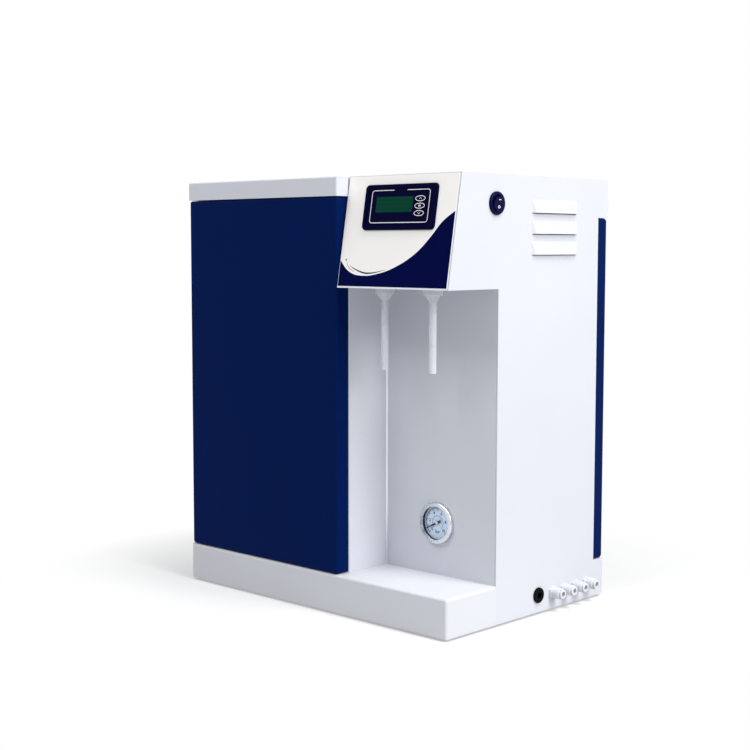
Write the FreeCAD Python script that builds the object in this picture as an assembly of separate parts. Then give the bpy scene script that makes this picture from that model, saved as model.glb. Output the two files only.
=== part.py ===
"""Benchtop ultrapure water system: a sheet-steel cabinet on a low base, with a blue filter door,
an open dispensing bay, a leaning control head with three keys, and a blue rear cover.

Frame: millimetres, +X to the right, -Y to the front, +Z up. The origin is the centre of the
whole footprint, tube ports included, on the surface that the feet stand on.
"""
import FreeCAD, Part
import math
import os
from FreeCAD import Vector

os.makedirs("parts", exist_ok=True)

# ---------------------------------------------------------------- driving dimensions (mm)
# Cabinet
cabinet_width = 428.0
cabinet_depth = 291.0
cabinet_height = 500.0          # from the underside of the base to the top, without the feet
sheet = 1.5                     # painted steel
seam = 0.3                      # gap between two neighbouring sheets
hole_length = 20.0              # of a hole drilled through one wall, half to each side
overrun = 1.0                   # of a recess past its open side
least_round = 0.5               # a tighter corner is left sharp
touch = 0.01                    # two places this near each other count as one
base_height = 44.0
base_radius = 3.0               # rounded shoulder of the base
compartment_width = 262.0       # filter compartment, from the left side to the bay
bay_depth = 84.0
head_height = 125.0
head_setback = 21.5             # how far the head's front leans back over its height
head_gap = 0.8                  # between the head and the filter compartment
band_height = 22.0              # front band of the top cover
corner_radius = 2.0
lip_depth = 12.0                # folded stiffening lips
side_lip_depth = 10.0           # foot of the left side panel, on the deck
side_lip_setback = 4.0          # keeps that foot clear of the swinging door
side_edge_round = 0.6           # front edge of the left side panel
bay_fold_round = 0.9            # folded edge of the bay's back wall
rear_skirt = 45.0
rear_wrap = 19.0                # how far the rear cover reaches round the sides
rear_radius = 4.0

# Feet
foot_height = 3.0
foot_radius = 10.0
foot_taper = 1.0
foot_inset = 28.0
foot_stem_radius = 3.0
foot_head_radius = 5.0
foot_head_height = 2.0

# Filter door
door_depth = 19.0
door_radius = 3.0
door_side_gap = 2.0             # at the hinge side
door_free_gap = 0.6             # at the free side
door_end_gap = 0.8
door_back_gap = 1.0
hinge_inset = 9.5
hinge_pin_radius = 2.5
hinge_pin_reach = 10.0
hinge_head_radius = 6.0
hinge_head_height = 2.0
bush_wall = 1.2
bush_height = 8.0
bush_flange = 2.0
bush_flange_reach = 1.5
running_gap = 0.05
liner_recess = 0.5
rib_margin = 30.0               # from each end of the door
catch_width = 8.0
catch_side_gap = 1.0
catch_height = 32.0
catch_depth = 9.0
catch_proud = 0.7
catch_lip = 3.0
strike_thickness = 0.5
strike_inset = 0.5

# Louvres pressed out of the right side panel
louvre_count = 3
louvre_length = 86.0
louvre_rise = 15.0
louvre_reach = 3.4
louvre_taper = 5.0
louvre_slot = 0.8
louvre_wall = 1.2
louvre_pitch = 23.4
louvre_start = 142.5            # from the front
louvre_drop = 41.0              # from the top to the highest lip

# Control panel on the head: places are measured along the leaning face
film_thickness = 0.3
film_side_gap = 0.7
film_top_gap = 0.7
film_foot_gap = 1.8
film_gap = 0.2                  # round the bezel
bezel_width = 106.4
bezel_height = 50.7
bezel_drop = 11.1               # from the head's upper edge
bezel_shift = 1.0               # right of the middle of the head
bezel_corner = 5.0
bezel_proud = 3.0
bezel_edge_radius = 1.4
bezel_rim_width = 4.6
bezel_recess_corner = 3.0
bezel_recess = 1.2
bezel_floor = 2.2
bezel_skirt_inset = 4.5
bezel_skirt_depth = 8.0
bezel_skirt_wall = 1.5
window_width = 54.4
window_height = 17.3
window_left = 17.8              # from the bezel's left edge
window_foot = 19.5              # from the bezel's lower edge
window_ledge = 1.0
window_thickness = 1.0
window_gap = 0.1
lcd_border_width = 4.5
lcd_key_gap = 1.0
lcd_thickness = 6.0
key_width = 15.2
key_height = 6.6
key_gap = 0.3
key_pitch = 8.1
key_left = 83.3                 # key centres, from the bezel's left edge
key_foot = 17.8                 # lowest key centre, from the bezel's lower edge
key_proud = 0.8
key_ear = 1.5
key_ear_thickness = 0.8
key_ear_gap = 0.2
key_travel = 0.6
key_stem_radius = 1.4
board_distance = 9.0
board_thickness = 1.6
boss_radius = 2.4
chip_count = 3
chip_size = 14.0
chip_height = 3.0
chip_pitch = 22.0
chip_inset = 10.0

# Rocker switch, round, in the right side of the head
switch_back = 79.2              # from the front
switch_drop = 31.9              # from the top
switch_bezel_radius = 12.9
switch_bezel_height = 2.9
switch_bezel_round = 1.7
switch_body_radius = 10.6
switch_body_depth = 20.0
switch_bore_radius = 9.4
switch_floor = 3.0
paddle_gap = 0.9                # round the paddle, for its tilt
paddle_tilt = 8.0
paddle_face = 4.5               # height of the middle of the paddle above its pivot
paddle_proud = 1.2              # middle of the paddle above the rim of the bezel
paddle_body = 4.0
spade_length = 9.0
spade_width = 4.8
spade_thickness = 0.8
spade_pitch = 6.0
paddle_pin_radius = 1.5

# Pressure gauge in the back wall of the bay
gauge_offset = 2.7              # left of the middle of the bay
gauge_rise = 104.6              # from the underside of the base
gauge_bezel_radius = 24.4
gauge_window_radius = 19.5
gauge_bezel_depth = 5.3
gauge_bezel_round = 1.8
gauge_flange_depth = 2.7
gauge_bezel_wall = 0.65
gauge_flange_gap = 0.15
gauge_lens_thickness = 1.5
gauge_case_radius = 21.2
gauge_case_wall = 1.2
gauge_case_depth = 28.0
gauge_dial_proud = 0.3          # dial face in front of the wall
gauge_dial_thickness = 0.6
gauge_socket_radius = 7.0
gauge_socket_depth = 10.0
gauge_nut_height = 6.0
gauge_stem_radius = 5.0
gauge_stem_length = 16.0
needle_length = 17.6
needle_tail = 6.6
needle_root_width = 1.5
needle_fork_width = 3.5
needle_notch = 2.0              # cut into the end of the tail
needle_width = 2.2
needle_tip_width = 0.9
needle_thickness = 0.5
needle_lift = 1.0               # above the dial
needle_boss_radius = 1.9
needle_boss_height = 1.1
needle_boss_proud = 0.4
arbor_radius = 0.8
arbor_length = 7.0
arbor_end_gap = 2.0
needle_rest = 206.0             # degrees anticlockwise from the right, seen from the front
clamp_width = 12.0
clamp_distance = 3.0
clamp_gap = 2.0

# Dispensing nozzles
nozzle_back = 32.0              # from the front
nozzle_offset = 2.3             # middle of the pair, left of the middle of the bay
nozzle_pitch = 72.0
nozzle_collar_radius = 11.0
nozzle_collar_height = 8.5
nozzle_collar_round = 1.0
nozzle_cone_radius = 8.4
nozzle_cone_height = 6.6
nozzle_tip_radius = 4.5
nozzle_tube_radius = 4.0
nozzle_tube_bore = 3.0
nozzle_grip_radius = 3.9        # of the tube where the collar squeezes it
nozzle_grip_gap = 0.5           # bare length of that neck under the collar
nozzle_tube_drop = 92.5         # below the ceiling of the bay
nozzle_tube_rise = 16.0         # above the ceiling
nozzle_thread_radius = 7.0
nozzle_thread_length = 12.0
nozzle_nut_radius = 11.0
fitting_gap = 0.2

# Tube ports, mains gland, low on the right side
port_count = 4
port_inset = 33.8               # last port, from the rear
port_pitch = 22.4
port_rise = 19.0                # from the underside of the base
port_flange_radius = 8.0
port_flange_depth = 3.0
port_barrel_radius = 6.4
port_barrel_round = 1.2
port_reach = 13.0               # outer end of the barrel
port_thread_radius = 6.0
port_inner_reach = 18.0
port_socket_radius = 4.7
port_socket_depth = 15.0
port_bore_radius = 2.4
collet_gap = 0.08
collet_bore = 3.2
collet_head_radius = 5.4
collet_head_height = 1.6
collet_head_round = 0.5
collet_travel = 1.2
collet_spare = 0.3              # left between the collet head and the barrel when pressed
collet_length = 13.0
nut_radius = 9.5
nut_height = 4.0
gland_pitch = 28.0              # in front of the first port
gland_rise = 20.4
gland_flange_radius = 9.0
gland_flange_depth = 2.5
gland_flange_round = 1.0
gland_body_radius = 7.6
gland_bore_radius = 4.0
gland_inner_reach = 8.0

# Filter cartridges behind the door
filter_count = 3
filter_back = 62.0              # centre line, from the front
filter_radius = 32.0
filter_head_drop = 12.0         # feet of the heads, below the tops of the columns
filter_length = 300.0
filter_round = 8.0
filter_neck_radius = 22.0
filter_neck_height = 6.0
filter_collar_height = 10.0
filter_collar_grow = 1.5
filter_head_radius = 29.0
filter_head_height = 40.0
filter_head_round = 3.0
filter_stub_radius = 6.0
filter_stub_reach = 38.0        # back from the centre line
filter_stub_spread = 20.0
filter_stub_rise = 22.0         # above the foot of the head
bracket_back_reach = 38.0       # from the centre line of the cartridges
bracket_front_reach = 36.0

# Membrane housing and polishing columns, standing on the base
column_radius = 35.0
column_cap_radius = 37.0
column_cap_height = 22.0
column_cap_round = 4.0
column_foot_round = 2.0
column_back = 160.0
column_length = 360.0
column_spread = 10.0            # ports on the caps, each side of the middle
rack_rise = 200.0
rack_height = 30.0
rack_gap = 0.3
rack_wall = 3.0
rack_plate_gap = 2.0
rack_stem_width = 20.0
rack_mouth_past = 3.0

# Booster pump, valves, power supply
pump_end_gap = 14.0             # from each side wall of the bay
pump_back_gap = 5.0             # to the rails of the rear cover
pump_rise = 42.0                # axis above the base deck
pump_motor_radius = 36.0
pump_motor_round = 3.0
pump_head_size = 62.0
pump_head_length = 46.0
pump_head_round = 5.0
pump_port_set = 22.0            # tube ports behind the axis
pump_outlet_rise = 8.0
pump_inlet_drop = 18.0
pump_bracket_sheet = 2.0
pump_bracket_inset = 10.0
pump_saddle_drop = 14.0         # top of the saddles below the axis
pump_saddle_gap = 0.1
valve_size = 30.0
valve_body_height = 26.0
valve_coil_radius = 13.0
valve_coil_height = 38.0
valve_coil_round = 1.5
valve_inlet_depth = 20.0
valve_inset = 43.0              # right valve, from the right side
valve_set = 51.0                # behind the back wall of the bay
supply_width = 96.0
supply_depth = 98.0
supply_height = 38.0
supply_round = 1.5
supply_side_gap = 10.0          # from the compartment
supply_back_gap = 10.5          # behind its terminals
terminal_inset = 8.0
terminal_depth = 9.0
terminal_height = 12.0

# Internal tubing
tube_radius = 3.2
tube_bore = 2.1
tube_clear = 1.8
bend = 14.0
tight_bend = 9.0
upper_run_rise = 30.0           # loops over the columns
feed_run_rise = 8.0             # membrane feed, over those loops
cross_run_rise = 12.0           # run to the outlets, over the filter heads
nozzle_run_rise = 12.0          # runs along the head, over the outlet tubes
gauge_run_back = 24.0
gauge_run_rise = 40.0

# Rear cover rails and screws
rail_width = 14.0
screw_head_radius = 3.6
screw_head_height = 1.2
screw_radius = 1.9
screw_length = 7.0
screw_rows = 3
screw_margin = 30.0
cross_length = 4.4              # cross recess of the screw heads
cross_width = 0.8

# ---------------------------------------------------------------- derived places
collet_lift = collet_travel + collet_spare
port_outer = port_reach + collet_lift + collet_head_height
left = -(cabinet_width + port_outer) / 2    # the ports reach furthest right
right = left + cabinet_width
front = -(cabinet_depth + screw_head_height) / 2
rear = front + cabinet_depth
bottom = foot_height
top = bottom + cabinet_height
deck = bottom + base_height                 # top of the base, floor of the bay
ceiling = top - head_height                 # underside of the head
bay_left = left + compartment_width         # left wall of the bay
bay_wall = front + bay_depth                # back wall of the bay
door_top = top - band_height
door_back = front + door_depth
cover_top = top - rear_skirt
lean = math.degrees(math.atan2(head_setback, head_height))
slope = math.hypot(head_setback, head_height)
head_thickness = sheet / math.cos(math.radians(lean))
head_left = bay_left + head_gap
head_right = right - sheet - seam
bezel_left = (head_left + head_right - bezel_width) / 2 + bezel_shift - bay_left
bezel_foot = slope - bezel_drop - bezel_height
bay_middle = (bay_left + right) / 2
nozzle_places = [bay_middle - nozzle_offset + side * nozzle_pitch / 2 for side in (-1, 1)]
nozzle_line = front + nozzle_back
valve_places = [nozzle_places[0], right - valve_inset]
valve_line = bay_wall + valve_set
rail_front = rear - rear_wrap - lip_depth   # front edge of the rails of the rear cover
last_port = rear - port_inset
port_places = [last_port - port_pitch * (port_count - 1 - i) for i in range(port_count)]
gland_line = port_places[0] - gland_pitch
gland_level = bottom + gland_rise
inner_width = compartment_width - 2 * sheet
column_gap = (inner_width - 2 * column_cap_radius * filter_count) / (filter_count + 1)
column_pitch = 2 * column_cap_radius + column_gap
column_places = [left + sheet + column_gap + column_cap_radius + column_pitch * i
                 for i in range(filter_count)]
column_line = front + column_back
column_top = deck + column_length
filter_line = front + filter_back
filter_top = column_top - filter_head_drop
head_top = filter_top + filter_head_height
stub_level = filter_top + filter_stub_rise
stub_end = filter_line + filter_stub_reach
pump_line = rail_front - pump_back_gap - pump_motor_radius
pump_level = deck + pump_rise
pump_left = bay_left + pump_end_gap
pump_face = pump_left + pump_head_length
pump_motor_length = right - pump_end_gap - pump_face
upper_level = column_top + upper_run_rise
cross_level = head_top + cross_run_rise
valve_top = deck + valve_body_height + valve_coil_height
port_level = bottom + port_rise


# ---------------------------------------------------------------- small helpers
def block(x0, x1, y0, y1, z0, z1):
    """Box between two corners."""
    return Part.makeBox(x1 - x0, y1 - y0, z1 - z0, Vector(x0, y0, z0))


def rod(radius, length, start, along):
    """Cylinder from a start point along a direction."""
    return Part.makeCylinder(radius, length, Vector(*start), Vector(*along))


def hole(radius, centre, along):
    """Cutting rod through one wall, centred on a point of it."""
    start = Vector(*centre) - Vector(*along) * (hole_length / 2)
    return Part.makeCylinder(radius, hole_length, start, Vector(*along))


def taper(radius_0, radius_1, length, start, along):
    """Cone frustum from a start point along a direction."""
    return Part.makeCone(radius_0, radius_1, length, Vector(*start), Vector(*along))


def prism(points, along):
    """Flat polygon pushed along a vector."""
    corners = [Vector(*p) for p in points]
    return Part.Face(Part.makePolygon(corners + corners[:1])).extrude(Vector(*along))


def hexagon(radius, height, start, along):
    """Hexagonal nut blank from a start point along a direction; radius is to its corners."""
    corners = [Vector(radius * math.cos(a), radius * math.sin(a), 0)
               for a in (math.radians(60 * i) for i in range(6))]
    nut = Part.Face(Part.makePolygon(corners + corners[:1])).extrude(Vector(0, 0, height))
    nut.Placement = FreeCAD.Placement(
        Vector(*start), FreeCAD.Rotation(Vector(0, 0, 1), Vector(*along)))
    return nut


def oval(width, height, depth, start):
    """Elliptical prism standing in the XZ plane, pushed along +Y."""
    edge = Part.Ellipse(Vector(0, 0, 0), width / 2, height / 2).toShape()
    solid = Part.Face(Part.Wire([edge])).extrude(Vector(0, 0, -depth))
    solid.rotate(Vector(0, 0, 0), Vector(1, 0, 0), 90)
    solid.translate(Vector(*start))
    return solid


def edges_at(shape, x=None, y=None, z=None):
    """Edges whose ends have all the given coordinates."""
    def matches(vertex):
        pairs = ((x, vertex.X), (y, vertex.Y), (z, vertex.Z))
        return all(want is None or abs(want - have) < touch for want, have in pairs)
    return [e for e in shape.Edges if e.Vertexes and all(matches(v) for v in e.Vertexes)]


def rounded(shape, radius, *places):
    """Round the edges found at each place."""
    edges = []
    for place in places:
        edges += [e for e in edges_at(shape, **place) if not any(e.isSame(f) for f in edges)]
    return shape.makeFillet(radius, edges)


def fused(*shapes):
    """One solid from touching or overlapping shapes."""
    return shapes[0].multiFuse(list(shapes[1:])).removeSplitter()


def save(node, *solids):
    """Write one node, which may hold several separate solids."""
    shape = solids[0] if len(solids) == 1 else Part.makeCompound(list(solids))
    shape.exportStep(f"parts/{node}.step")


def on_panel(shape):
    """Move a shape from the upright panel frame onto the head's leaning face.

    In the upright frame X runs from the compartment's right side, Z up the face, -Y outwards.
    """
    placed = shape.copy()
    placed.rotate(Vector(0, 0, 0), Vector(1, 0, 0), -lean)
    placed.translate(Vector(bay_left, front, ceiling))
    return placed


def plate_with_corners(x0, x1, y0, y1, z0, z1, radius):
    """Upright plate with its four corners rounded in the XZ plane."""
    plate = block(x0, x1, y0, y1, z0, z1)
    return rounded(plate, radius, dict(x=x0, z=z0), dict(x=x0, z=z1),
                   dict(x=x1, z=z0), dict(x=x1, z=z1))


def bent_path(points, radius):
    """Wire of straight runs joined by tangent arcs of one radius."""
    corners = [Vector(*p) for p in points]
    edges = []
    here = corners[0]
    for before, corner, after in zip(corners, corners[1:], corners[2:]):
        into = (corner - before).normalize()
        out = (after - corner).normalize()
        half_turn = into.getAngle(out) / 2
        cut = radius * math.tan(half_turn)
        arc_start = corner - into * cut
        arc_end = corner + out * cut
        inward = (out - into).normalize()
        middle = corner + inward * (radius / math.cos(half_turn) - radius)
        edges.append(Part.LineSegment(here, arc_start).toShape())
        edges.append(Part.Arc(arc_start, middle, arc_end).toShape())
        here = arc_end
    edges.append(Part.LineSegment(here, corners[-1]).toShape())
    return Part.Wire(edges), (corners[1] - corners[0]).normalize()


def tube(points, radius=bend):
    """Hollow tube along straight runs and tangent arcs."""
    path, heading = bent_path(points, radius)
    start = Vector(*points[0])
    walls = []
    for r in (tube_radius, tube_bore):
        section = Part.Wire([Part.makeCircle(r, start, heading)])
        walls.append(path.makePipeShell([section], True, True))
    return walls[0].cut(walls[1])


# ---------------------------------------------------------------- louvres
def hood_shape(length, rise, reach, lip_z, start_y):
    """Solid that a louvre fills, standing out of the right side panel towards +X."""
    end_y = start_y + length
    across = prism([(right, start_y, lip_z), (right + reach, start_y, lip_z),
                    (right, start_y, lip_z + rise)], (0, length, 0))
    ends = prism([(right, start_y, lip_z), (right + reach, start_y + louvre_taper, lip_z),
                  (right + reach, end_y - louvre_taper, lip_z), (right, end_y, lip_z)],
                 (0, 0, rise))
    return across.common(ends)


def with_louvres(panel):
    """Press the row of louvres out of the right side panel."""
    wall = louvre_wall
    shrink = 1 - wall / louvre_reach
    start_y = front + louvre_start
    for i in range(louvre_count):
        lip_z = top - louvre_drop - louvre_pitch * i
        hood = hood_shape(louvre_length, louvre_rise, louvre_reach, lip_z, start_y)
        hollow = hood_shape(louvre_length - 2 * wall, louvre_rise * shrink,
                            louvre_reach - wall, lip_z, start_y + wall)
        slot = block(right - sheet, right, start_y + wall, start_y + louvre_length - wall,
                     lip_z - louvre_slot, lip_z + louvre_rise * shrink - wall)
        panel = panel.fuse(hood).cut(hollow).cut(slot)
    return panel


# ---------------------------------------------------------------- cabinet
def base_outline(inset):
    """Solid of the base, shrunk by an inset from every side but the open underside.

    Behind the bay the right side steps in by one sheet, so that the side panel lies flush over it.
    """
    step = right - sheet - seam
    radius = max(base_radius - inset, 0)
    body = block(left + inset, right - inset, front + inset, rear - inset, bottom, deck - inset)
    if radius > least_round:
        body = rounded(body, radius,
                       dict(y=front + inset, z=deck - inset),
                       dict(x=right - inset, y=front + inset),
                       dict(x=left + inset, y=front + inset),
                       dict(x=right - inset, z=deck - inset))
    notch = block(step - inset, right + overrun, bay_wall + seam - inset, rear + overrun,
                  bottom - overrun, deck + overrun)
    return body.cut(notch)


def make_base():
    shell = base_outline(0).cut(base_outline(sheet))
    for y in port_places:
        shell = shell.cut(hole(port_thread_radius + fitting_gap, (right, y, port_level), (1, 0, 0)))
    shell = shell.cut(hole(gland_body_radius + fitting_gap, (right, gland_line, gland_level),
                           (1, 0, 0)))
    shell = shell.cut(hole(hinge_pin_radius + running_gap, hinge_point(deck), (0, 0, 1)))
    for x, y in deck_holes():
        shell = shell.cut(hole(tube_radius + tube_clear, (x, y, deck), (0, 0, 1)))
    save("base_pan", shell)

    plate = base_outline(sheet).common(
        block(left, right, front, rear, bottom, bottom + sheet))
    feet = []
    for x in (left + foot_inset, right - foot_inset):
        for y in (front + foot_inset, rear - foot_inset):
            plate = plate.cut(hole(foot_stem_radius + fitting_gap, (x, y, bottom), (0, 0, 1)))
            pad = taper(foot_radius - foot_taper, foot_radius, foot_height, (x, y, 0), (0, 0, 1))
            stem = rod(foot_stem_radius, sheet + foot_head_height, (x, y, bottom), (0, 0, 1))
            head = rod(foot_head_radius, foot_head_height, (x, y, bottom + sheet), (0, 0, 1))
            feet.append(fused(pad, stem, head))
    save("bottom_plate", plate)
    save("rubber_feet", *feet)


def deck_holes():
    """Where tubes pass through the deck of the base."""
    riser = (column_places[0] - filter_stub_spread, last_port)
    membrane = (column_places[0], column_line)
    return [riser, membrane] + [(x, valve_line) for x in valve_places]


def make_right_side():
    """Right side panel: one flat sheet, cut back at the bay and at the rear cover."""
    outline = [
        (bay_wall + seam, bottom), (bay_wall + seam, ceiling), (front, ceiling),
        (front + head_setback * (head_height - sheet) / head_height, top - sheet),
        (rear, top - sheet), (rear, cover_top + seam), (rear - rear_wrap - seam, cover_top + seam),
        (rear - rear_wrap - seam, deck), (rear, deck), (rear, bottom)]
    panel = prism([(right - sheet, y, z) for y, z in outline], (sheet, 0, 0))
    panel = with_louvres(panel)
    panel = panel.cut(hole(switch_body_radius + fitting_gap, switch_point(0), (1, 0, 0)))
    for y in port_places:
        panel = panel.cut(hole(port_thread_radius + fitting_gap, (right, y, port_level), (1, 0, 0)))
    panel = panel.cut(hole(gland_body_radius + fitting_gap, (right, gland_line, gland_level),
                           (1, 0, 0)))
    save("right_side_panel", panel)


def make_left_side():
    """Left side panel with a folded foot on the deck, clear of the swing of the door."""
    y0 = door_back + door_back_gap
    y1 = rear - rear_wrap - seam
    wall = block(left, left + sheet, y0, y1, deck, door_top)
    foot = block(left, left + side_lip_depth, y0 + side_lip_setback, y1, deck, deck + sheet)
    panel = fused(wall, foot)
    save("left_side_panel", rounded(panel, side_edge_round, dict(x=left, y=y0)))


def make_top():
    """Top cover: flat lid, front band over the door, left skirt and tall rear skirt."""
    z0 = top - sheet
    lid = prism([(left, front, z0), (bay_left, front, z0), (bay_left, front + head_setback, z0),
                 (right, front + head_setback, z0), (right, rear, z0), (left, rear, z0)],
                (0, 0, sheet))
    band = block(left, bay_left, front, front + sheet, door_top, top)
    band_end = block(bay_left - sheet, bay_left, front, door_back - seam, door_top, top)
    band_floor = block(left, bay_left, front, door_back - seam, door_top, door_top + sheet)
    left_skirt = block(left, left + sheet, front, rear, door_top + seam, top)
    rear_wall = block(left, right - sheet - seam, rear - sheet, rear, cover_top + seam, top)
    left_rear = block(left, left + sheet, rear - rear_wrap, rear, cover_top + seam, top)
    cover = fused(lid, band, band_end, band_floor, left_skirt, rear_wall, left_rear)
    cover = rounded(cover, corner_radius,
                    dict(x=left, z=top), dict(y=front, z=top),
                    dict(x=left, y=front), dict(x=bay_left, y=front),
                    dict(y=rear, z=top), dict(x=left, y=rear))
    cover = cover.cut(hole(hinge_pin_radius + running_gap, hinge_point(door_top), (0, 0, 1)))
    save("top_cover", cover)


def make_partition():
    """Inner wall between the compartment and the bay, with a folded lip behind the door."""
    x0 = bay_left - sheet
    y0 = door_back + door_back_gap
    z1 = top - sheet
    wall = block(x0, bay_left, y0, rail_front, deck, z1)
    lip = block(bay_left - lip_depth, bay_left, y0, y0 + sheet, deck, door_top)
    panel = rounded(fused(wall, lip), corner_radius, dict(x=bay_left, y=y0))
    panel = panel.cut(catch_block(fitting_gap))
    for y, z in partition_holes():
        panel = panel.cut(hole(tube_radius + tube_clear, (x0, y, z), (1, 0, 0)))
    save("partition", panel)


def make_bay():
    """Back wall of the bay and the shelf that is its ceiling."""
    x0 = bay_left
    x1 = right - sheet - seam
    wall = block(x0, x1, bay_wall, bay_wall + sheet, deck, ceiling + sheet)
    fold = block(x0, x0 + sheet, bay_wall - sheet * 2, bay_wall + sheet, deck, ceiling)
    fold = rounded(fold, bay_fold_round, dict(x=x0 + sheet, y=bay_wall - sheet * 2))
    wall = wall.fuse(fold).removeSplitter()
    wall = wall.cut(hole(gauge_case_radius + fitting_gap, gauge_point(0), (0, 1, 0)))
    save("bay_back_wall", wall)

    shelf = block(head_left + sheet + seam, head_right, front + sheet * 2, rail_front,
                  ceiling + sheet, ceiling + sheet * 2)
    for x in nozzle_places:
        shelf = shelf.cut(hole(nozzle_thread_radius + fitting_gap, (x, nozzle_line, ceiling),
                               (0, 0, 1)))
    shelf = shelf.cut(hole(tube_radius + tube_clear, (valve_places[0], valve_line, ceiling),
                           (0, 0, 1)))
    save("upper_shelf", shelf)


def make_head():
    """Leaning front of the control head, with its left cheek and a lower lip."""
    z1 = top - sheet
    back = head_setback * (head_height - sheet) / head_height
    face = prism([(head_left, front, ceiling), (head_left, front + back, z1),
                  (head_left, front + back + head_thickness, z1),
                  (head_left, front + head_thickness, ceiling)], (head_right - head_left, 0, 0))
    cheek = prism([(head_left, front, ceiling), (head_left, front + back, z1),
                   (head_left, bay_wall, z1), (head_left, bay_wall, ceiling)], (sheet, 0, 0))
    lip = block(head_left, head_right, front, front + lip_depth, ceiling, ceiling + sheet)
    panel = fused(face, cheek, lip)
    inset = bezel_skirt_inset - fitting_gap
    opening = block(bezel_left + inset, bezel_left + bezel_width - inset,
                    -hole_length / 2, hole_length / 2,
                    bezel_foot + inset, bezel_foot + bezel_height - inset)
    panel = panel.cut(on_panel(opening))
    save("head_front_panel", panel)


def make_rear():
    """Rear cover, its rails behind the side panels, and its screws."""
    x0, x1 = left, right
    y0 = rear - rear_wrap
    z0, z1 = deck + seam, cover_top
    body = block(x0, x1, y0, rear, z0, z1)
    body = rounded(body, rear_radius,
                   dict(x=x0, y=rear), dict(x=x1, y=rear), dict(y=rear, z=z0), dict(y=rear, z=z1),
                   dict(x=x0, z=z0), dict(x=x1, z=z0), dict(x=x0, z=z1), dict(x=x1, z=z1))
    inner = block(x0 + sheet, x1 - sheet, y0 - overrun, rear - sheet, z0 + sheet, z1 - sheet)
    inner = rounded(inner, rear_radius - sheet,
                    dict(x=x0 + sheet, y=rear - sheet), dict(x=x1 - sheet, y=rear - sheet),
                    dict(y=rear - sheet, z=z0 + sheet), dict(y=rear - sheet, z=z1 - sheet))
    cover = body.cut(inner)
    rails, screws = [], []
    rail_back = rear - sheet
    rail_z0, rail_z1 = z0 + sheet + rear_radius, z1 - sheet - rear_radius
    for side, edge in ((1, left + sheet), (-1, right - sheet)):
        inner_x = edge + side * rail_width
        lo, hi = sorted((edge + side * rear_radius, inner_x))
        flat = block(lo, hi, rail_back - sheet, rail_back, rail_z0, rail_z1)
        leg_lo, leg_hi = sorted((inner_x, inner_x - side * sheet))
        leg = block(leg_lo, leg_hi, rail_front, rail_back, rail_z0, rail_z1)
        foot_lo, foot_hi = sorted((edge, inner_x))
        foot = block(foot_lo, foot_hi, rail_front, rail_front + sheet, rail_z0, rail_z1)
        rail = fused(flat, leg, foot)
        screw_x = edge + side * (rear_radius + rail_width) / 2
        for i in range(screw_rows):
            z = z0 + screw_margin + (z1 - z0 - 2 * screw_margin) * i / (screw_rows - 1)
            drilled = hole(screw_radius + fitting_gap, (screw_x, rear, z), (0, 1, 0))
            cover = cover.cut(drilled)
            rail = rail.cut(drilled)
            head = rod(screw_head_radius, screw_head_height, (screw_x, rear, z), (0, 1, 0))
            head = rounded(head, screw_head_height / 2, dict(y=rear + screw_head_height))
            shank = rod(screw_radius, screw_length, (screw_x, rear - screw_length, z), (0, 1, 0))
            screw = fused(head, shank)
            for wide, high in ((cross_length, cross_width), (cross_width, cross_length)):
                screw = screw.cut(block(screw_x - wide / 2, screw_x + wide / 2,
                                        rear + screw_head_height / 2, rear + screw_head_height,
                                        z - high / 2, z + high / 2))
            screws.append(screw)
        rails.append(rail)
    save("rear_cover", cover)
    save("rear_rails", *rails)
    save("rear_cover_screws", *screws)


# ---------------------------------------------------------------- filter door
def hinge_point(z):
    """A point on the door's hinge line."""
    return (left + hinge_inset, front + hinge_inset, z)


def catch_block(grow):
    """Body of the magnetic catch, grown for its hole in the partition's lip."""
    x1 = bay_left - sheet - catch_side_gap
    middle = (deck + door_top) / 2
    y0 = door_back + door_back_gap - catch_proud
    return block(x1 - catch_width - grow, x1 + grow, y0, y0 + catch_depth,
                 middle - catch_height / 2 - grow, middle + catch_height / 2 + grow)


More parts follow.
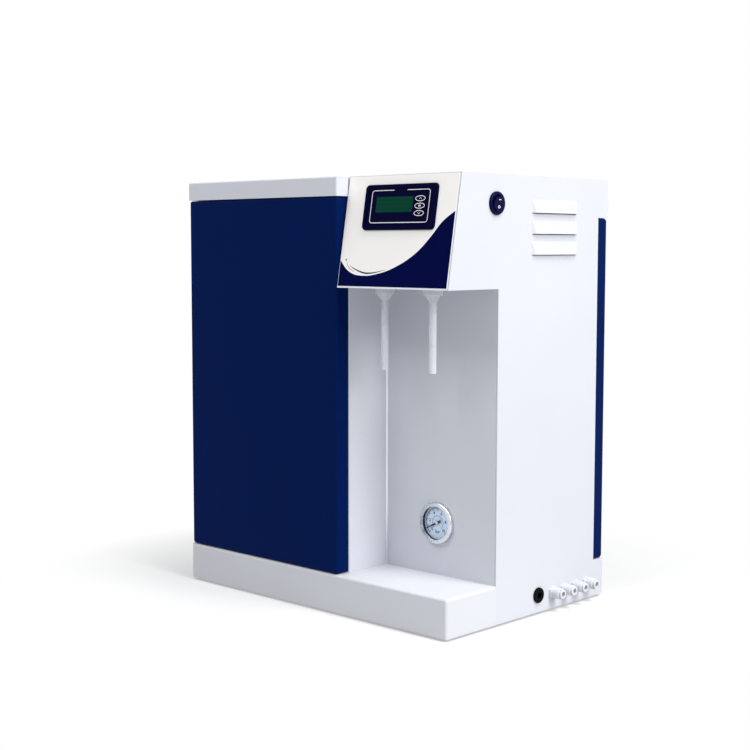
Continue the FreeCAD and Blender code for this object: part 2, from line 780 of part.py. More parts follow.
def make_door():
    x0 = left + door_side_gap
    x1 = bay_left - door_free_gap
    z0 = deck + door_end_gap
    z1 = door_top - door_end_gap
    body = block(x0, x1, front, door_back, z0, z1)
    body = rounded(body, door_radius,
                   dict(x=x0, y=front), dict(x=x1, y=front), dict(y=front, z=z0),
                   dict(y=front, z=z1), dict(x=x0, z=z0), dict(x=x1, z=z0),
                   dict(x=x0, z=z1), dict(x=x1, z=z1))
    inner = block(x0 + sheet, x1 - sheet, front + sheet, door_back + overrun, z0 + sheet,
                  z1 - sheet)
    inner = rounded(inner, door_radius - sheet,
                    dict(x=x0 + sheet, y=front + sheet), dict(x=x1 - sheet, y=front + sheet),
                    dict(y=front + sheet, z=z0 + sheet), dict(y=front + sheet, z=z1 - sheet))
    skin = body.cut(inner)
    bush_radius = hinge_pin_radius + running_gap + bush_wall
    for z in (z0, z1):
        skin = skin.cut(hole(bush_radius + running_gap, hinge_point(z), (0, 0, 1)))
    save("door_skin", skin)

    y1 = door_back - liner_recess
    liner = block(x0 + sheet, x1 - sheet, y1 - sheet, y1, z0 + sheet, z1 - sheet)
    rib_x = (x0 + x1) / 2
    rib = block(rib_x - lip_depth / 2, rib_x + lip_depth / 2, front + sheet, y1 - sheet,
                z0 + rib_margin, z1 - rib_margin)
    rib_hollow = block(rib_x - lip_depth / 2 + sheet, rib_x + lip_depth / 2 - sheet,
                       front + sheet * 2, y1, z0, z1)
    save("door_liner", fused(liner, rib.cut(rib_hollow)))

    pins, bushes = [], []
    for end, plate_z, door_z in ((1, deck - sheet, z0), (-1, door_top + sheet, z1)):
        out = (0, 0, end)
        head_z = plate_z - end * hinge_head_height
        reach = abs(door_z - plate_z) + hinge_pin_reach
        pin = rod(hinge_pin_radius, hinge_head_height + reach, hinge_point(head_z), out)
        head = rod(hinge_head_radius, hinge_head_height, hinge_point(head_z), out)
        pins.append(fused(pin, head))
        bush = rod(bush_radius, bush_height, hinge_point(door_z), out)
        flange = rod(bush_radius + bush_flange_reach, bush_flange, hinge_point(door_z + end * sheet), out)
        bore = rod(hinge_pin_radius + running_gap, bush_height, hinge_point(door_z), out)
        bushes.append(fused(bush, flange).cut(bore))
    save("door_hinge_pins", *pins)
    save("door_bushes", *bushes)

    catch = catch_block(0)
    box = catch.BoundBox
    lip_y = door_back + door_back_gap + sheet
    ears = block(box.XMin - catch_lip, box.XMax, lip_y, lip_y + sheet,
                 box.ZMin - catch_lip, box.ZMax + catch_lip)
    save("magnetic_catch", fused(catch, ears))
    strike = block(box.XMin, box.XMax - strike_inset, y1, y1 + strike_thickness, box.ZMin, box.ZMax)
    save("catch_strike", strike)


# ---------------------------------------------------------------- control panel
def make_panel():
    u0, u1 = bezel_left, bezel_left + bezel_width
    v0, v1 = bezel_foot, bezel_foot + bezel_height
    head_u0 = head_left - bay_left
    head_u1 = head_right - bay_left
    film = block(head_u0 + film_side_gap, head_u1 - film_side_gap, -film_thickness, 0,
                 film_foot_gap, slope - film_top_gap)
    film = film.cut(plate_with_corners(u0 - film_gap, u1 + film_gap, -film_thickness - overrun,
                                       overrun, v0 - film_gap, v1 + film_gap, bezel_corner))
    save("panel_film", on_panel(film))

    floor_y = -bezel_proud + bezel_recess
    floor_back = floor_y + bezel_floor
    body = plate_with_corners(u0, u1, -bezel_proud, 0, v0, v1, bezel_corner)
    rim_edges = [e for e in body.Edges if all(abs(v.Y + bezel_proud) < touch for v in e.Vertexes)]
    body = body.makeFillet(bezel_edge_radius, rim_edges)
    rim = bezel_rim_width
    recess = plate_with_corners(u0 + rim, u1 - rim, -bezel_proud - overrun, floor_y,
                                v0 + rim, v1 - rim, bezel_recess_corner)
    s = bezel_skirt_inset
    skirt = block(u0 + s, u1 - s, 0, bezel_skirt_depth, v0 + s, v1 - s)
    w = s + bezel_skirt_wall
    hollow = block(u0 + w, u1 - w, floor_back, bezel_skirt_depth + overrun, v0 + w, v1 - w)
    bezel = fused(body, skirt).cut(recess).cut(hollow)
    reach = w + boss_radius / 2
    boss_u = (u0 + reach, u1 - reach)
    boss_v = (v0 + reach, v1 - reach)
    bosses = [rod(boss_radius, board_distance - floor_back, (u, floor_back, v), (0, 1, 0))
              for u in boss_u for v in boss_v]
    bezel = fused(bezel, *bosses)
    wu0, wv0 = u0 + window_left, v0 + window_foot
    wu1, wv1 = wu0 + window_width, wv0 + window_height
    ledge_y = floor_y + window_thickness + window_gap
    bezel = bezel.cut(block(wu0 - window_gap, wu1 + window_gap, floor_y - overrun, ledge_y,
                            wv0 - window_gap, wv1 + window_gap))
    bezel = bezel.cut(block(wu0 + window_ledge, wu1 - window_ledge, floor_y, floor_back + overrun,
                            wv0 + window_ledge, wv1 - window_ledge))
    key_u = u0 + key_left
    key_v = [v0 + key_foot + key_pitch * i for i in range(3)]
    for v in key_v:
        bezel = bezel.cut(oval(key_width + 2 * key_gap, key_height + 2 * key_gap,
                               bezel_floor + 2 * overrun, (key_u, floor_y - overrun, v)))
    save("display_bezel", on_panel(bezel))

    window = block(wu0, wu1, ledge_y - window_thickness, ledge_y, wv0, wv1)
    save("display_window", on_panel(window))
    lcd_right = key_u - key_width / 2 - key_gap - key_ear - lcd_key_gap
    lcd_rim = lcd_border_width
    lcd = block(wu0 - lcd_rim, min(wu1 + lcd_rim, lcd_right), floor_back,
                floor_back + lcd_thickness, wv0 - lcd_rim, wv1 + lcd_rim)
    save("lcd_module", on_panel(lcd))

    for name, v in zip(("key_lower", "key_middle", "key_upper"), key_v):
        cap = oval(key_width, key_height, key_proud + bezel_floor + key_ear_gap,
                   (key_u, floor_y - key_proud, v))
        ear_y = floor_back + key_ear_gap
        reach = key_width / 2 + key_gap + key_ear
        ears = block(key_u - reach, key_u + reach, ear_y, ear_y + key_ear_thickness,
                     v - key_height / 2, v + key_height / 2)
        stem_end = board_distance - key_travel - key_ear_gap
        stem = rod(key_stem_radius, stem_end - ear_y, (key_u, ear_y, v), (0, 1, 0))
        save(name, on_panel(fused(cap, ears, stem)))

    b = w + seam
    board = block(u0 + b, u1 - b, board_distance, board_distance + board_thickness, v0 + b, v1 - b)
    board_back = board_distance + board_thickness
    chip_v = v0 + b + chip_inset
    chips = []
    for i in range(chip_count):
        chip_u = u0 + b + chip_inset + chip_pitch * i
        chips.append(block(chip_u, chip_u + chip_size, board_back, board_back + chip_height,
                           chip_v, chip_v + chip_size))
    save("control_board", on_panel(fused(board, *chips)))


# ---------------------------------------------------------------- rocker switch
def switch_point(x):
    """A point on the switch's axis, x measured outwards from the side panel's face."""
    return (right + x, front + switch_back, top - switch_drop)


def make_switch():
    ring = rod(switch_bezel_radius, switch_bezel_height, switch_point(0), (1, 0, 0))
    ring = rounded(ring, switch_bezel_round, dict(x=right + switch_bezel_height))
    body = rod(switch_body_radius, switch_body_depth, switch_point(-switch_body_depth), (1, 0, 0))
    pivot_x = switch_bezel_height + paddle_proud - paddle_face
    bore_floor = pivot_x - paddle_body - switch_floor
    bore = rod(switch_bore_radius, switch_bezel_height - bore_floor, switch_point(bore_floor),
               (1, 0, 0))
    housing = fused(ring, body).cut(bore)
    across = rod(paddle_pin_radius + running_gap, 2 * switch_body_radius,
                 (right + pivot_x, front + switch_back - switch_body_radius, top - switch_drop),
                 (0, 1, 0))
    body_end = right - switch_body_depth
    spades = [block(body_end - spade_length, body_end,
                    front + switch_back - spade_width / 2, front + switch_back + spade_width / 2,
                    top - switch_drop + spade_pitch * i - spade_thickness / 2,
                    top - switch_drop + spade_pitch * i + spade_thickness / 2)
              for i in (-1, 0, 1)]
    save("rocker_housing", fused(housing.cut(across), *spades))

    pivot = Vector(*switch_point(pivot_x))
    r = switch_bore_radius - paddle_gap
    half = 2 * r
    rise = math.tan(math.radians(paddle_tilt)) * half
    profile = [(-paddle_body, -half), (paddle_face + rise, -half), (paddle_face, 0),
               (paddle_face + rise, half), (-paddle_body, half)]
    wedge = prism([(pivot.x + x, pivot.y - half, pivot.z + z) for x, z in profile],
                  (0, 2 * half, 0))
    drum = rod(r, 4 * paddle_body, (pivot.x - 2 * paddle_body, pivot.y, pivot.z), (1, 0, 0))
    pin_half = (switch_bore_radius + switch_body_radius) / 2
    pin = rod(paddle_pin_radius, 2 * pin_half, (pivot.x, pivot.y - pin_half, pivot.z), (0, 1, 0))
    paddle = fused(drum.common(wedge), pin)
    paddle.rotate(pivot, Vector(0, 1, 0), paddle_tilt)
    save("rocker_paddle", paddle)


# ---------------------------------------------------------------- pressure gauge
def gauge_point(y):
    """A point on the gauge's axis, y measured back from the bay's back wall."""
    return (bay_middle - gauge_offset, bay_wall + y, bottom + gauge_rise)


def make_gauge():
    def disc(radius, y0, y1):
        return rod(radius, y1 - y0, gauge_point(y0), (0, 1, 0))

    flange_radius = gauge_bezel_radius - gauge_bezel_wall - gauge_flange_gap
    inner = gauge_case_radius - gauge_case_wall
    case = fused(disc(gauge_case_radius, -gauge_flange_depth, gauge_case_depth),
                 disc(flange_radius, -gauge_flange_depth, 0))
    case = case.cut(disc(inner, -gauge_flange_depth - overrun, gauge_case_depth - gauge_case_wall))
    case = case.cut(disc(gauge_stem_radius + fitting_gap, 0, gauge_case_depth + overrun))
    save("gauge_case", case)

    bezel = disc(gauge_bezel_radius, -gauge_bezel_depth, 0)
    bezel = rounded(bezel, gauge_bezel_round, dict(y=bay_wall - gauge_bezel_depth))
    lens_front = -gauge_flange_depth - gauge_lens_thickness
    bezel = bezel.cut(disc(gauge_window_radius, -gauge_bezel_depth - overrun, overrun))
    bezel = bezel.cut(disc(flange_radius + gauge_flange_gap, lens_front, overrun))
    save("gauge_bezel", bezel)
    save("gauge_lens", disc(flange_radius, lens_front, -gauge_flange_depth))

    dial_face = -gauge_dial_proud
    dial_back = dial_face + gauge_dial_thickness
    dial = disc(inner - fitting_gap, dial_face, dial_back)
    arbor_hole = disc(arbor_radius + fitting_gap, dial_face - overrun, dial_back + overrun)
    save("gauge_dial", dial.cut(arbor_hole))

    bar_y = gauge_case_depth + clamp_distance
    socket = fused(disc(gauge_socket_radius, dial_back, dial_back + gauge_socket_depth),
                   disc(gauge_stem_radius, dial_back, gauge_case_depth + gauge_stem_length),
                   hexagon(gauge_socket_radius, gauge_nut_height, gauge_point(bar_y + sheet),
                           (0, 1, 0)))
    socket = socket.cut(disc(arbor_radius + running_gap, dial_back,
                             dial_back + arbor_length + arbor_end_gap))
    save("gauge_socket", socket)

    cx, cy, cz = gauge_point(dial_face - needle_lift - needle_thickness)
    half = needle_width / 2
    tip = needle_tip_width / 2
    arm = prism([(cx, cy, cz - half), (cx + needle_length, cy, cz - tip),
                 (cx + needle_length, cy, cz + tip), (cx, cy, cz + half)],
                (0, needle_thickness, 0))
    root = needle_root_width / 2
    fork = needle_fork_width / 2
    tail_x = cx - needle_tail
    tail = prism([(cx, cy, cz - root), (cx, cy, cz + root), (tail_x, cy, cz + fork),
                  (tail_x + needle_notch, cy, cz), (tail_x, cy, cz - fork)],
                 (0, needle_thickness, 0))
    boss = rod(needle_boss_radius, needle_boss_height, (cx, cy - needle_boss_proud, cz), (0, 1, 0))
    arbor_end = dial_back + arbor_length
    arbor = rod(arbor_radius, bay_wall + arbor_end - cy, (cx, cy, cz), (0, 1, 0))
    needle = fused(arm, tail, boss, arbor)
    needle.rotate(Vector(cx, cy, cz), Vector(0, -1, 0), needle_rest)
    save("gauge_needle", needle)

    arm_x = gauge_case_radius + clamp_gap
    gx, gy, gz = gauge_point(0)
    half_width = clamp_width / 2
    bar = block(gx - arm_x - sheet, gx + arm_x + sheet, gy + bar_y, gy + bar_y + sheet,
                gz - half_width, gz + half_width)
    legs = [block(x, x + sheet, gy + sheet, gy + bar_y + sheet,
                  gz - half_width, gz + half_width)
            for x in (gx - arm_x - sheet, gx + arm_x)]
    clamp = fused(bar, *legs).cut(hole(gauge_stem_radius + fitting_gap, gauge_point(bar_y),
                                       (0, 1, 0)))
    save("gauge_clamp", clamp)


# ---------------------------------------------------------------- nozzles, ports, gland
def make_nozzles():
    collars, tubes, nuts = [], [], []
    y = nozzle_line
    shelf_bottom = ceiling + sheet
    for x in nozzle_places:
        collar_z = shelf_bottom - nozzle_collar_height
        collar = rod(nozzle_collar_radius, nozzle_collar_height, (x, y, collar_z), (0, 0, 1))
        collar = rounded(collar, nozzle_collar_round, dict(z=collar_z))
        cone_z = collar_z - nozzle_cone_height
        cone = taper(nozzle_tip_radius, nozzle_cone_radius, nozzle_cone_height,
                     (x, y, cone_z), (0, 0, 1))
        thread = rod(nozzle_thread_radius, nozzle_thread_length, (x, y, shelf_bottom), (0, 0, 1))
        bore_length = nozzle_cone_height + nozzle_collar_height + nozzle_thread_length
        bore = rod(nozzle_grip_radius + running_gap, bore_length, (x, y, cone_z), (0, 0, 1))
        collars.append(fused(collar, cone, thread).cut(bore))
        tube_z = ceiling - nozzle_tube_drop
        length = nozzle_tube_drop + nozzle_tube_rise
        drop = rod(nozzle_tube_radius, cone_z - nozzle_grip_gap - tube_z, (x, y, tube_z), (0, 0, 1))
        pipe = fused(drop, rod(nozzle_grip_radius, length, (x, y, tube_z), (0, 0, 1)))
        tubes.append(pipe.cut(rod(nozzle_tube_bore, length, (x, y, tube_z), (0, 0, 1))))
        nut_z = shelf_bottom + sheet
        nut = hexagon(nozzle_nut_radius, nut_height, (x, y, nut_z), (0, 0, 1))
        nuts.append(nut.cut(hole(nozzle_thread_radius + running_gap, (x, y, nut_z), (0, 0, 1))))
    save("outlet_collars", *collars)
    save("outlet_tubes", *tubes)
    return nuts


def make_ports():
    bodies, nuts = [], []
    for number, y in enumerate(port_places, 1):
        def at(x):
            return (right + x, y, port_level)

        flange = hexagon(port_flange_radius, port_flange_depth, at(0), (1, 0, 0))
        barrel = rod(port_barrel_radius, port_reach, at(0), (1, 0, 0))
        barrel = rounded(barrel, port_barrel_round, dict(x=right + port_reach))
        thread = rod(port_thread_radius, port_inner_reach, at(-port_inner_reach), (1, 0, 0))
        socket = rod(port_socket_radius, port_socket_depth, at(port_reach - port_socket_depth),
                     (1, 0, 0))
        bore = rod(port_bore_radius, port_inner_reach + port_reach, at(-port_inner_reach), (1, 0, 0))
        bodies.append(fused(flange, barrel, thread).cut(socket).cut(bore))
        head = rod(collet_head_radius, collet_head_height, at(port_reach + collet_lift), (1, 0, 0))
        head = rounded(head, collet_head_round, dict(x=right + port_outer))
        sleeve = rod(port_socket_radius - collet_gap, collet_length - collet_head_height,
                     at(port_outer - collet_length), (1, 0, 0))
        passage = rod(collet_bore, collet_length, at(port_outer - collet_length), (1, 0, 0))
        save(f"port_collet_{number}", fused(head, sleeve).cut(passage))
        nut_x = -2 * sheet - seam - nut_height
        nut = hexagon(nut_radius, nut_height, at(nut_x), (1, 0, 0))
        nuts.append(nut.cut(hole(port_thread_radius + running_gap, at(nut_x), (1, 0, 0))))
    save("port_bodies", *bodies)
    return nuts


def make_gland():
    y, z = gland_line, gland_level
    inner_end = (right - gland_inner_reach, y, z)
    flange = rod(gland_flange_radius, gland_flange_depth, (right, y, z), (1, 0, 0))
    flange = rounded(flange, gland_flange_round, dict(x=right + gland_flange_depth))
    body = rod(gland_body_radius, gland_inner_reach, inner_end, (1, 0, 0))
    bore = rod(gland_bore_radius, gland_inner_reach + gland_flange_depth, inner_end, (1, 0, 0))
    save("mains_gland", fused(flange, body).cut(bore))


# ---------------------------------------------------------------- filters and columns
def make_filters():
    y = filter_line
    heads = []
    for x, name in zip(column_places, ("sediment_cartridge", "carbon_cartridge",
                                       "scale_cartridge")):
        z0 = filter_top - filter_length
        barrel_length = filter_length - filter_neck_height
        barrel = rod(filter_radius, barrel_length, (x, y, z0), (0, 0, 1))
        barrel = rounded(barrel, filter_round, dict(z=z0), dict(z=z0 + barrel_length))
        collar_z = z0 + barrel_length - filter_round - filter_collar_height
        grip = rod(filter_radius + filter_collar_grow, filter_collar_height,
                   (x, y, collar_z), (0, 0, 1))
        neck = rod(filter_neck_radius, filter_neck_height, (x, y, z0 + barrel_length), (0, 0, 1))
        save(name, fused(barrel, grip, neck))
        head = rod(filter_head_radius, filter_head_height, (x, y, filter_top), (0, 0, 1))
        head = rounded(head, filter_head_round, dict(z=filter_top))
        stubs = [rod(filter_stub_radius, filter_stub_reach, (x + side * filter_stub_spread, y,
                                                             stub_level), (0, 1, 0))
                 for side in (-1, 1)]
        heads.append(fused(head, *stubs))
    save("filter_heads", *heads)

    x0, x1 = left + sheet, bay_left - sheet
    y0, y1 = filter_line - bracket_front_reach, filter_line + bracket_back_reach
    plate = block(x0, x1, y0, y1, head_top, head_top + sheet)
    ends = [block(x, x + sheet, y0, y1, head_top, head_top + lip_depth) for x in (x0, x1 - sheet)]
    save("filter_bracket", fused(plate, *ends))


def column(x):
    """Tall vessel as its foot, barrel and cap."""
    y = column_line
    middle = column_length - 2 * column_cap_height
    foot = rod(column_cap_radius, column_cap_height, (x, y, deck), (0, 0, 1))
    foot = rounded(foot, column_foot_round, dict(z=deck))
    barrel = rod(column_radius, middle, (x, y, deck + column_cap_height), (0, 0, 1))
    cap = rod(column_cap_radius, column_cap_height, (x, y, column_top - column_cap_height), (0, 0, 1))
    cap = rounded(cap, column_cap_round, dict(z=column_top))
    return foot, barrel, cap


def make_columns():
    foot, barrel, cap = column(column_places[0])
    inlet = rod(port_bore_radius, column_cap_height, (column_places[0], column_line, deck),
                (0, 0, 1))
    save("membrane_housing", fused(foot, barrel).cut(inlet), cap)
    save("polishing_columns", *[fused(*column(x)) for x in column_places[1:]])

    x0, x1 = left + sheet, bay_left - sheet
    y = column_line
    z0 = deck + rack_rise
    z1 = z0 + rack_height
    grip = column_radius + rack_gap
    half = rack_stem_width / 2
    plate_y = y + column_cap_radius + rack_plate_gap
    plate = block(x0, x1, plate_y, plate_y + sheet, z0, z1)
    ends = [block(x, x + sheet, plate_y, plate_y + lip_depth, z0, z1) for x in (x0, x1 - sheet)]
    pieces = [plate] + ends
    for x in column_places:
        collar = rod(grip + rack_wall, rack_height, (x, y, z0), (0, 0, 1))
        stem = block(x - half, x + half, y + grip, plate_y + sheet, z0, z1)
        bore = rod(grip, rack_height, (x, y, z0), (0, 0, 1))
        mouth = block(x - grip, x + grip, y - 2 * grip, y + rack_mouth_past, z0, z1)
        pieces.append(fused(collar, stem).cut(bore).cut(mouth))
    save("column_rack", fused(*pieces))


# ---------------------------------------------------------------- pump, valves, supply
def make_pump():
    y = pump_line
    half = pump_head_size / 2
    head = block(pump_left, pump_face, y - half, y + half, pump_level - half, pump_level + half)
    head = rounded(head, pump_head_round, dict(y=y - half, z=pump_level - half),
                   dict(y=y - half, z=pump_level + half),
                   dict(y=y + half, z=pump_level - half), dict(y=y + half, z=pump_level + half))
    save("pump_head", head)
    motor = rod(pump_motor_radius, pump_motor_length, (pump_face, y, pump_level), (1, 0, 0))
    motor = rounded(motor, pump_motor_round, dict(x=pump_face + pump_motor_length))
    save("pump_motor", motor)
    x0 = pump_face + pump_bracket_inset
    x1 = pump_face + pump_motor_length - pump_bracket_inset
    plate = block(x0, x1, y - half, y + half, deck, deck + pump_bracket_sheet)
    saddle_top = pump_level - pump_saddle_drop
    saddles = [block(x, x + pump_bracket_sheet, y - half, y + half, deck, saddle_top)
               for x in (x0, x1 - pump_bracket_sheet)]
    bracket = fused(plate, *saddles).cut(
        rod(pump_motor_radius + pump_saddle_gap, pump_motor_length, (pump_face, y, pump_level),
            (1, 0, 0)))
    save("pump_bracket", bracket)


def make_valves():
    valves = []
    half = valve_size / 2
    y = valve_line
    for x in valve_places:
        body = block(x - half, x + half, y - half, y + half, deck, deck + valve_body_height)
        coil = rod(valve_coil_radius, valve_coil_height, (x, y, deck + valve_body_height), (0, 0, 1))
        coil = rounded(coil, valve_coil_round, dict(z=valve_top))
        inlet = rod(tube_bore, valve_inlet_depth, (x, y, deck), (0, 0, 1))
        valves.append(fused(body, coil).cut(inlet))
    save("solenoid_valves", *valves)


def make_supply():
    """Power supply on the upper shelf, its terminals to the rear."""
    x0 = bay_left + supply_side_gap
    x1 = x0 + supply_width
    y1 = rear - sheet - supply_back_gap - terminal_depth
    y0 = y1 - supply_depth
    z0 = ceiling + 2 * sheet
    z1 = z0 + supply_height
    box = rounded(block(x0, x1, y0, y1, z0, z1), supply_round, dict(y=y0, z=z1), dict(y=y1, z=z1))
    terminals = block(x0 + terminal_inset, x1 - terminal_inset, y1, y1 + terminal_depth,
                      z0, z0 + terminal_height)
    save("power_supply", fused(box, terminals))


# ---------------------------------------------------------------- internal tubing
def partition_holes():
    """Where tubes pass through the partition, as (y, z)."""
    return [(pump_line + pump_port_set, pump_level + pump_outlet_rise),
            (pump_line + pump_port_set, pump_level - pump_inlet_drop), (column_line, cross_level)]


def make_tubes():
    first_x = column_places[0]
    port_end = right - port_inner_reach
    (out_y, out_z), (in_y, in_z), _ = partition_holes()
    tubes = []
    riser_x = first_x - filter_stub_spread
    tubes.append(tube([(port_end, last_port, port_level), (riser_x, last_port, port_level),
                       (riser_x, last_port, stub_level), (riser_x, stub_end, stub_level)]))
    for here, there in zip(column_places, column_places[1:]):
        a, b = here + filter_stub_spread, there - filter_stub_spread
        out = stub_end + 2 * bend
        tubes.append(tube([(a, stub_end, stub_level), (a, out, stub_level),
                           (b, out, stub_level), (b, stub_end, stub_level)]))
    last_x = column_places[-1] + filter_stub_spread
    tubes.append(tube([(last_x, stub_end, stub_level), (last_x, out_y, stub_level),
                       (last_x, out_y, out_z), (pump_left, out_y, out_z)]))
    feed_level = upper_level + feed_run_rise
    tubes.append(tube([(pump_left, in_y, in_z), (first_x, in_y, in_z), (first_x, in_y, feed_level),
                       (first_x, column_line, feed_level), (first_x, column_line, column_top)]))
    for here, there in zip(column_places, column_places[1:]):
        a, b = here + column_spread, there - column_spread
        tubes.append(tube([(a, column_line, column_top), (a, column_line, upper_level),
                           (b, column_line, upper_level), (b, column_line, column_top)]))
    nozzle_top = ceiling + nozzle_tube_rise
    run_level = nozzle_top + nozzle_run_rise
    cap_x = column_places[-1] + column_spread
    outlet_x = nozzle_places[1]
    tubes.append(tube([(cap_x, column_line, column_top), (cap_x, column_line, cross_level),
                       (outlet_x, column_line, cross_level), (outlet_x, column_line, run_level),
                       (outlet_x, nozzle_line, run_level), (outlet_x, nozzle_line, nozzle_top)],
                      tight_bend))
    outlet_x = nozzle_places[0]
    tubes.append(tube([(outlet_x, nozzle_line, nozzle_top), (outlet_x, nozzle_line, run_level),
                       (outlet_x, valve_line, run_level), (outlet_x, valve_line, valve_top)],
                      tight_bend))
    gx, gy, gz = gauge_point(gauge_case_depth + gauge_stem_length)
    run_y = gy + gauge_run_back
    tap_x = pump_left + pump_head_length / 2
    tap_top = pump_level + pump_head_size / 2
    run_z = tap_top + gauge_run_rise
    tubes.append(tube([(gx, gy, gz), (gx, run_y, gz), (gx, run_y, run_z), (tap_x, run_y, run_z),
                       (tap_x, pump_line, run_z), (tap_x, pump_line, tap_top)], tight_bend))
    for x, y in zip(reversed(valve_places), port_places):
        tubes.append(tube([(port_end, y, port_level), (x, y, port_level),
                           (x, valve_line, port_level), (x, valve_line, deck)], tight_bend))
    y = port_places[2]
    tubes.append(tube([(port_end, y, port_level), (first_x, y, port_level),
                       (first_x, column_line, port_level), (first_x, column_line, deck)],
                      tight_bend))
    save("internal_tubes", *tubes)


make_base()
make_right_side()
make_left_side()
make_top()
make_partition()
make_bay()
make_head()
make_rear()
make_door()
make_panel()
make_switch()
make_gauge()
save("panel_nuts", *(make_nozzles() + make_ports()))
make_gland()
make_filters()
make_columns()
make_pump()
make_valves()
make_supply()
make_tubes()
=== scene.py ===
"""Looks of the benchtop ultrapure water system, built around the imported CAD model."""
import bpy
import math
from mathutils import Matrix, Vector


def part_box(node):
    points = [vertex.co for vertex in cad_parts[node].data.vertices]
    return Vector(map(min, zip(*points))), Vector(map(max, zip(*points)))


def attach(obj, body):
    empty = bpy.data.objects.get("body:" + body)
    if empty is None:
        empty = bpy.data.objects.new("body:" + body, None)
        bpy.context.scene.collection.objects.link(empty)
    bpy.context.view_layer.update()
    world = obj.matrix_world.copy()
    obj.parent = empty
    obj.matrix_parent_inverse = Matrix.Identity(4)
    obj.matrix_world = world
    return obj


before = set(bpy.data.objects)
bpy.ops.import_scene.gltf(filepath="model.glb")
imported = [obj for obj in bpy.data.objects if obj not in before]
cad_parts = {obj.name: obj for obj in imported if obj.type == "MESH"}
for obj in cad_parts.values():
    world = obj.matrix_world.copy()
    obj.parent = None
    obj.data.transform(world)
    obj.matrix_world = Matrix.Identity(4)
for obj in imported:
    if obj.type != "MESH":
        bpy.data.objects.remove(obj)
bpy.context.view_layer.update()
MM = 0.001


# ---------------------------------------------------------------- colour and node helpers
def linear(r, g, b):
    """Linear colour from sRGB values of 0 to 255."""
    def channel(c):
        c /= 255
        return c / 12.92 if c <= 0.04045 else ((c + 0.055) / 1.055) ** 2.4
    return channel(r), channel(g), channel(b), 1.0


def scaled(colour, factor):
    """A colour made darker or paler by a factor, at most white."""
    return tuple(min(1.0, c * factor) for c in colour[:3]) + (1.0,)


class Graph:
    """Short way to build one material's node tree."""

    def __init__(self, name):
        self.material = bpy.data.materials.new(name)
        self.material.use_nodes = True
        self.tree = self.material.node_tree
        self.shader = self.tree.nodes["Principled BSDF"]
        self.place = self.node("ShaderNodeTexCoord").outputs["Object"]

    def node(self, kind, **settings):
        """New node with some of its settings."""
        made = self.tree.nodes.new(kind)
        for key, value in settings.items():
            setattr(made, key, value)
        return made

    def link(self, source, target):
        self.tree.links.new(source, target)

    def feed(self, socket, value):
        """Link a socket to another node's output, or give it a number or colour of its own."""
        if hasattr(value, "node"):
            self.link(value, socket)
        else:
            socket.default_value = value

    def axis(self, letter):
        """The object's own X, Y or Z, in metres."""
        split = self.node("ShaderNodeSeparateXYZ")
        self.link(self.place, split.inputs[0])
        return split.outputs[letter]

    def noise(self, scale, detail=3.0, stretch=None):
        """Cloudy pattern of 0 to 1."""
        made = self.node("ShaderNodeTexNoise")
        made.inputs["Scale"].default_value = scale
        made.inputs["Detail"].default_value = detail
        source = self.place
        if stretch:
            mapping = self.node("ShaderNodeMapping")
            mapping.inputs["Scale"].default_value = stretch
            self.link(self.place, mapping.inputs["Vector"])
            source = mapping.outputs["Vector"]
        self.link(source, made.inputs["Vector"])
        return made.outputs["Fac"]

    def calculate(self, operation, *values):
        """One step of arithmetic on sockets or numbers."""
        made = self.node("ShaderNodeMath", operation=operation)
        for socket, value in zip(made.inputs, values):
            self.feed(socket, value)
        return made.outputs[0]

    def spread(self, source, low, high, start=0.3, end=0.7):
        """Map the part of a pattern between start and end onto a range."""
        made = self.node("ShaderNodeMapRange")
        for key, value in (("From Min", start), ("From Max", end),
                           ("To Min", low), ("To Max", high)):
            made.inputs[key].default_value = value
        self.link(source, made.inputs["Value"])
        return made.outputs["Result"]

    def around(self, source, middle, reach):
        """A value that wanders about its middle along a pattern."""
        return self.spread(source, middle - reach, middle + reach)

    def blend(self, factor, first, second):
        """Colour between two others."""
        made = self.node("ShaderNodeMix", data_type="RGBA")
        inputs = {s.identifier: s for s in made.inputs}
        for key, value in (("Factor_Float", factor), ("A_Color", first), ("B_Color", second)):
            self.feed(inputs[key], value)
        return next(s for s in made.outputs if s.identifier == "Result_Color")

    def mottled(self, source, first, second):
        """Colour that wanders between two others along a pattern."""
        return self.blend(self.spread(source, 0.0, 1.0), first, second)

    def bump(self, source, strength, depth, below=None):
        """Fine relief, its depth in millimetres, on its own or over another relief."""
        made = self.node("ShaderNodeBump")
        made.inputs["Strength"].default_value = strength
        made.inputs["Distance"].default_value = depth * MM
        self.link(source, made.inputs["Height"])
        if below is not None:
            self.link(below, made.inputs["Normal"])
        return made.outputs["Normal"]

    def set(self, **values):
        """Fill inputs of the main shader and return the material."""
        for key, value in values.items():
            self.feed(self.shader.inputs[key.replace("_", " ")], value)
        return self.material

    def mixed(self, factor, first, second):
        """Shader between two others."""
        made = self.node("ShaderNodeMixShader")
        for socket, value in zip(made.inputs, (factor, first, second)):
            self.feed(socket, value)
        return made.outputs[0]

    def surface(self, shader):
        """Show this shader instead of the main one and return the material."""
        self.link(shader, self.tree.nodes["Material Output"].inputs["Surface"])
        return self.material


# ---------------------------------------------------------------- materials
def coated(name, colour, roughness=0.42, specular=0.35, peel=0.12, shade=0.04):
    """Powder-coated sheet steel: faint orange peel and a slightly uneven colour."""
    g = Graph(name)
    broad = g.noise(7.0, 2.0)
    coarse = g.bump(g.noise(1500.0, 2.0), peel, 0.12)
    return g.set(Base_Color=g.mottled(broad, scaled(colour, 1 - shade), colour),
                 Roughness=g.around(broad, roughness, 0.04),
                 Normal=g.bump(g.noise(5200.0, 1.0), peel / 2, 0.03, coarse),
                 Specular_IOR_Level=specular)


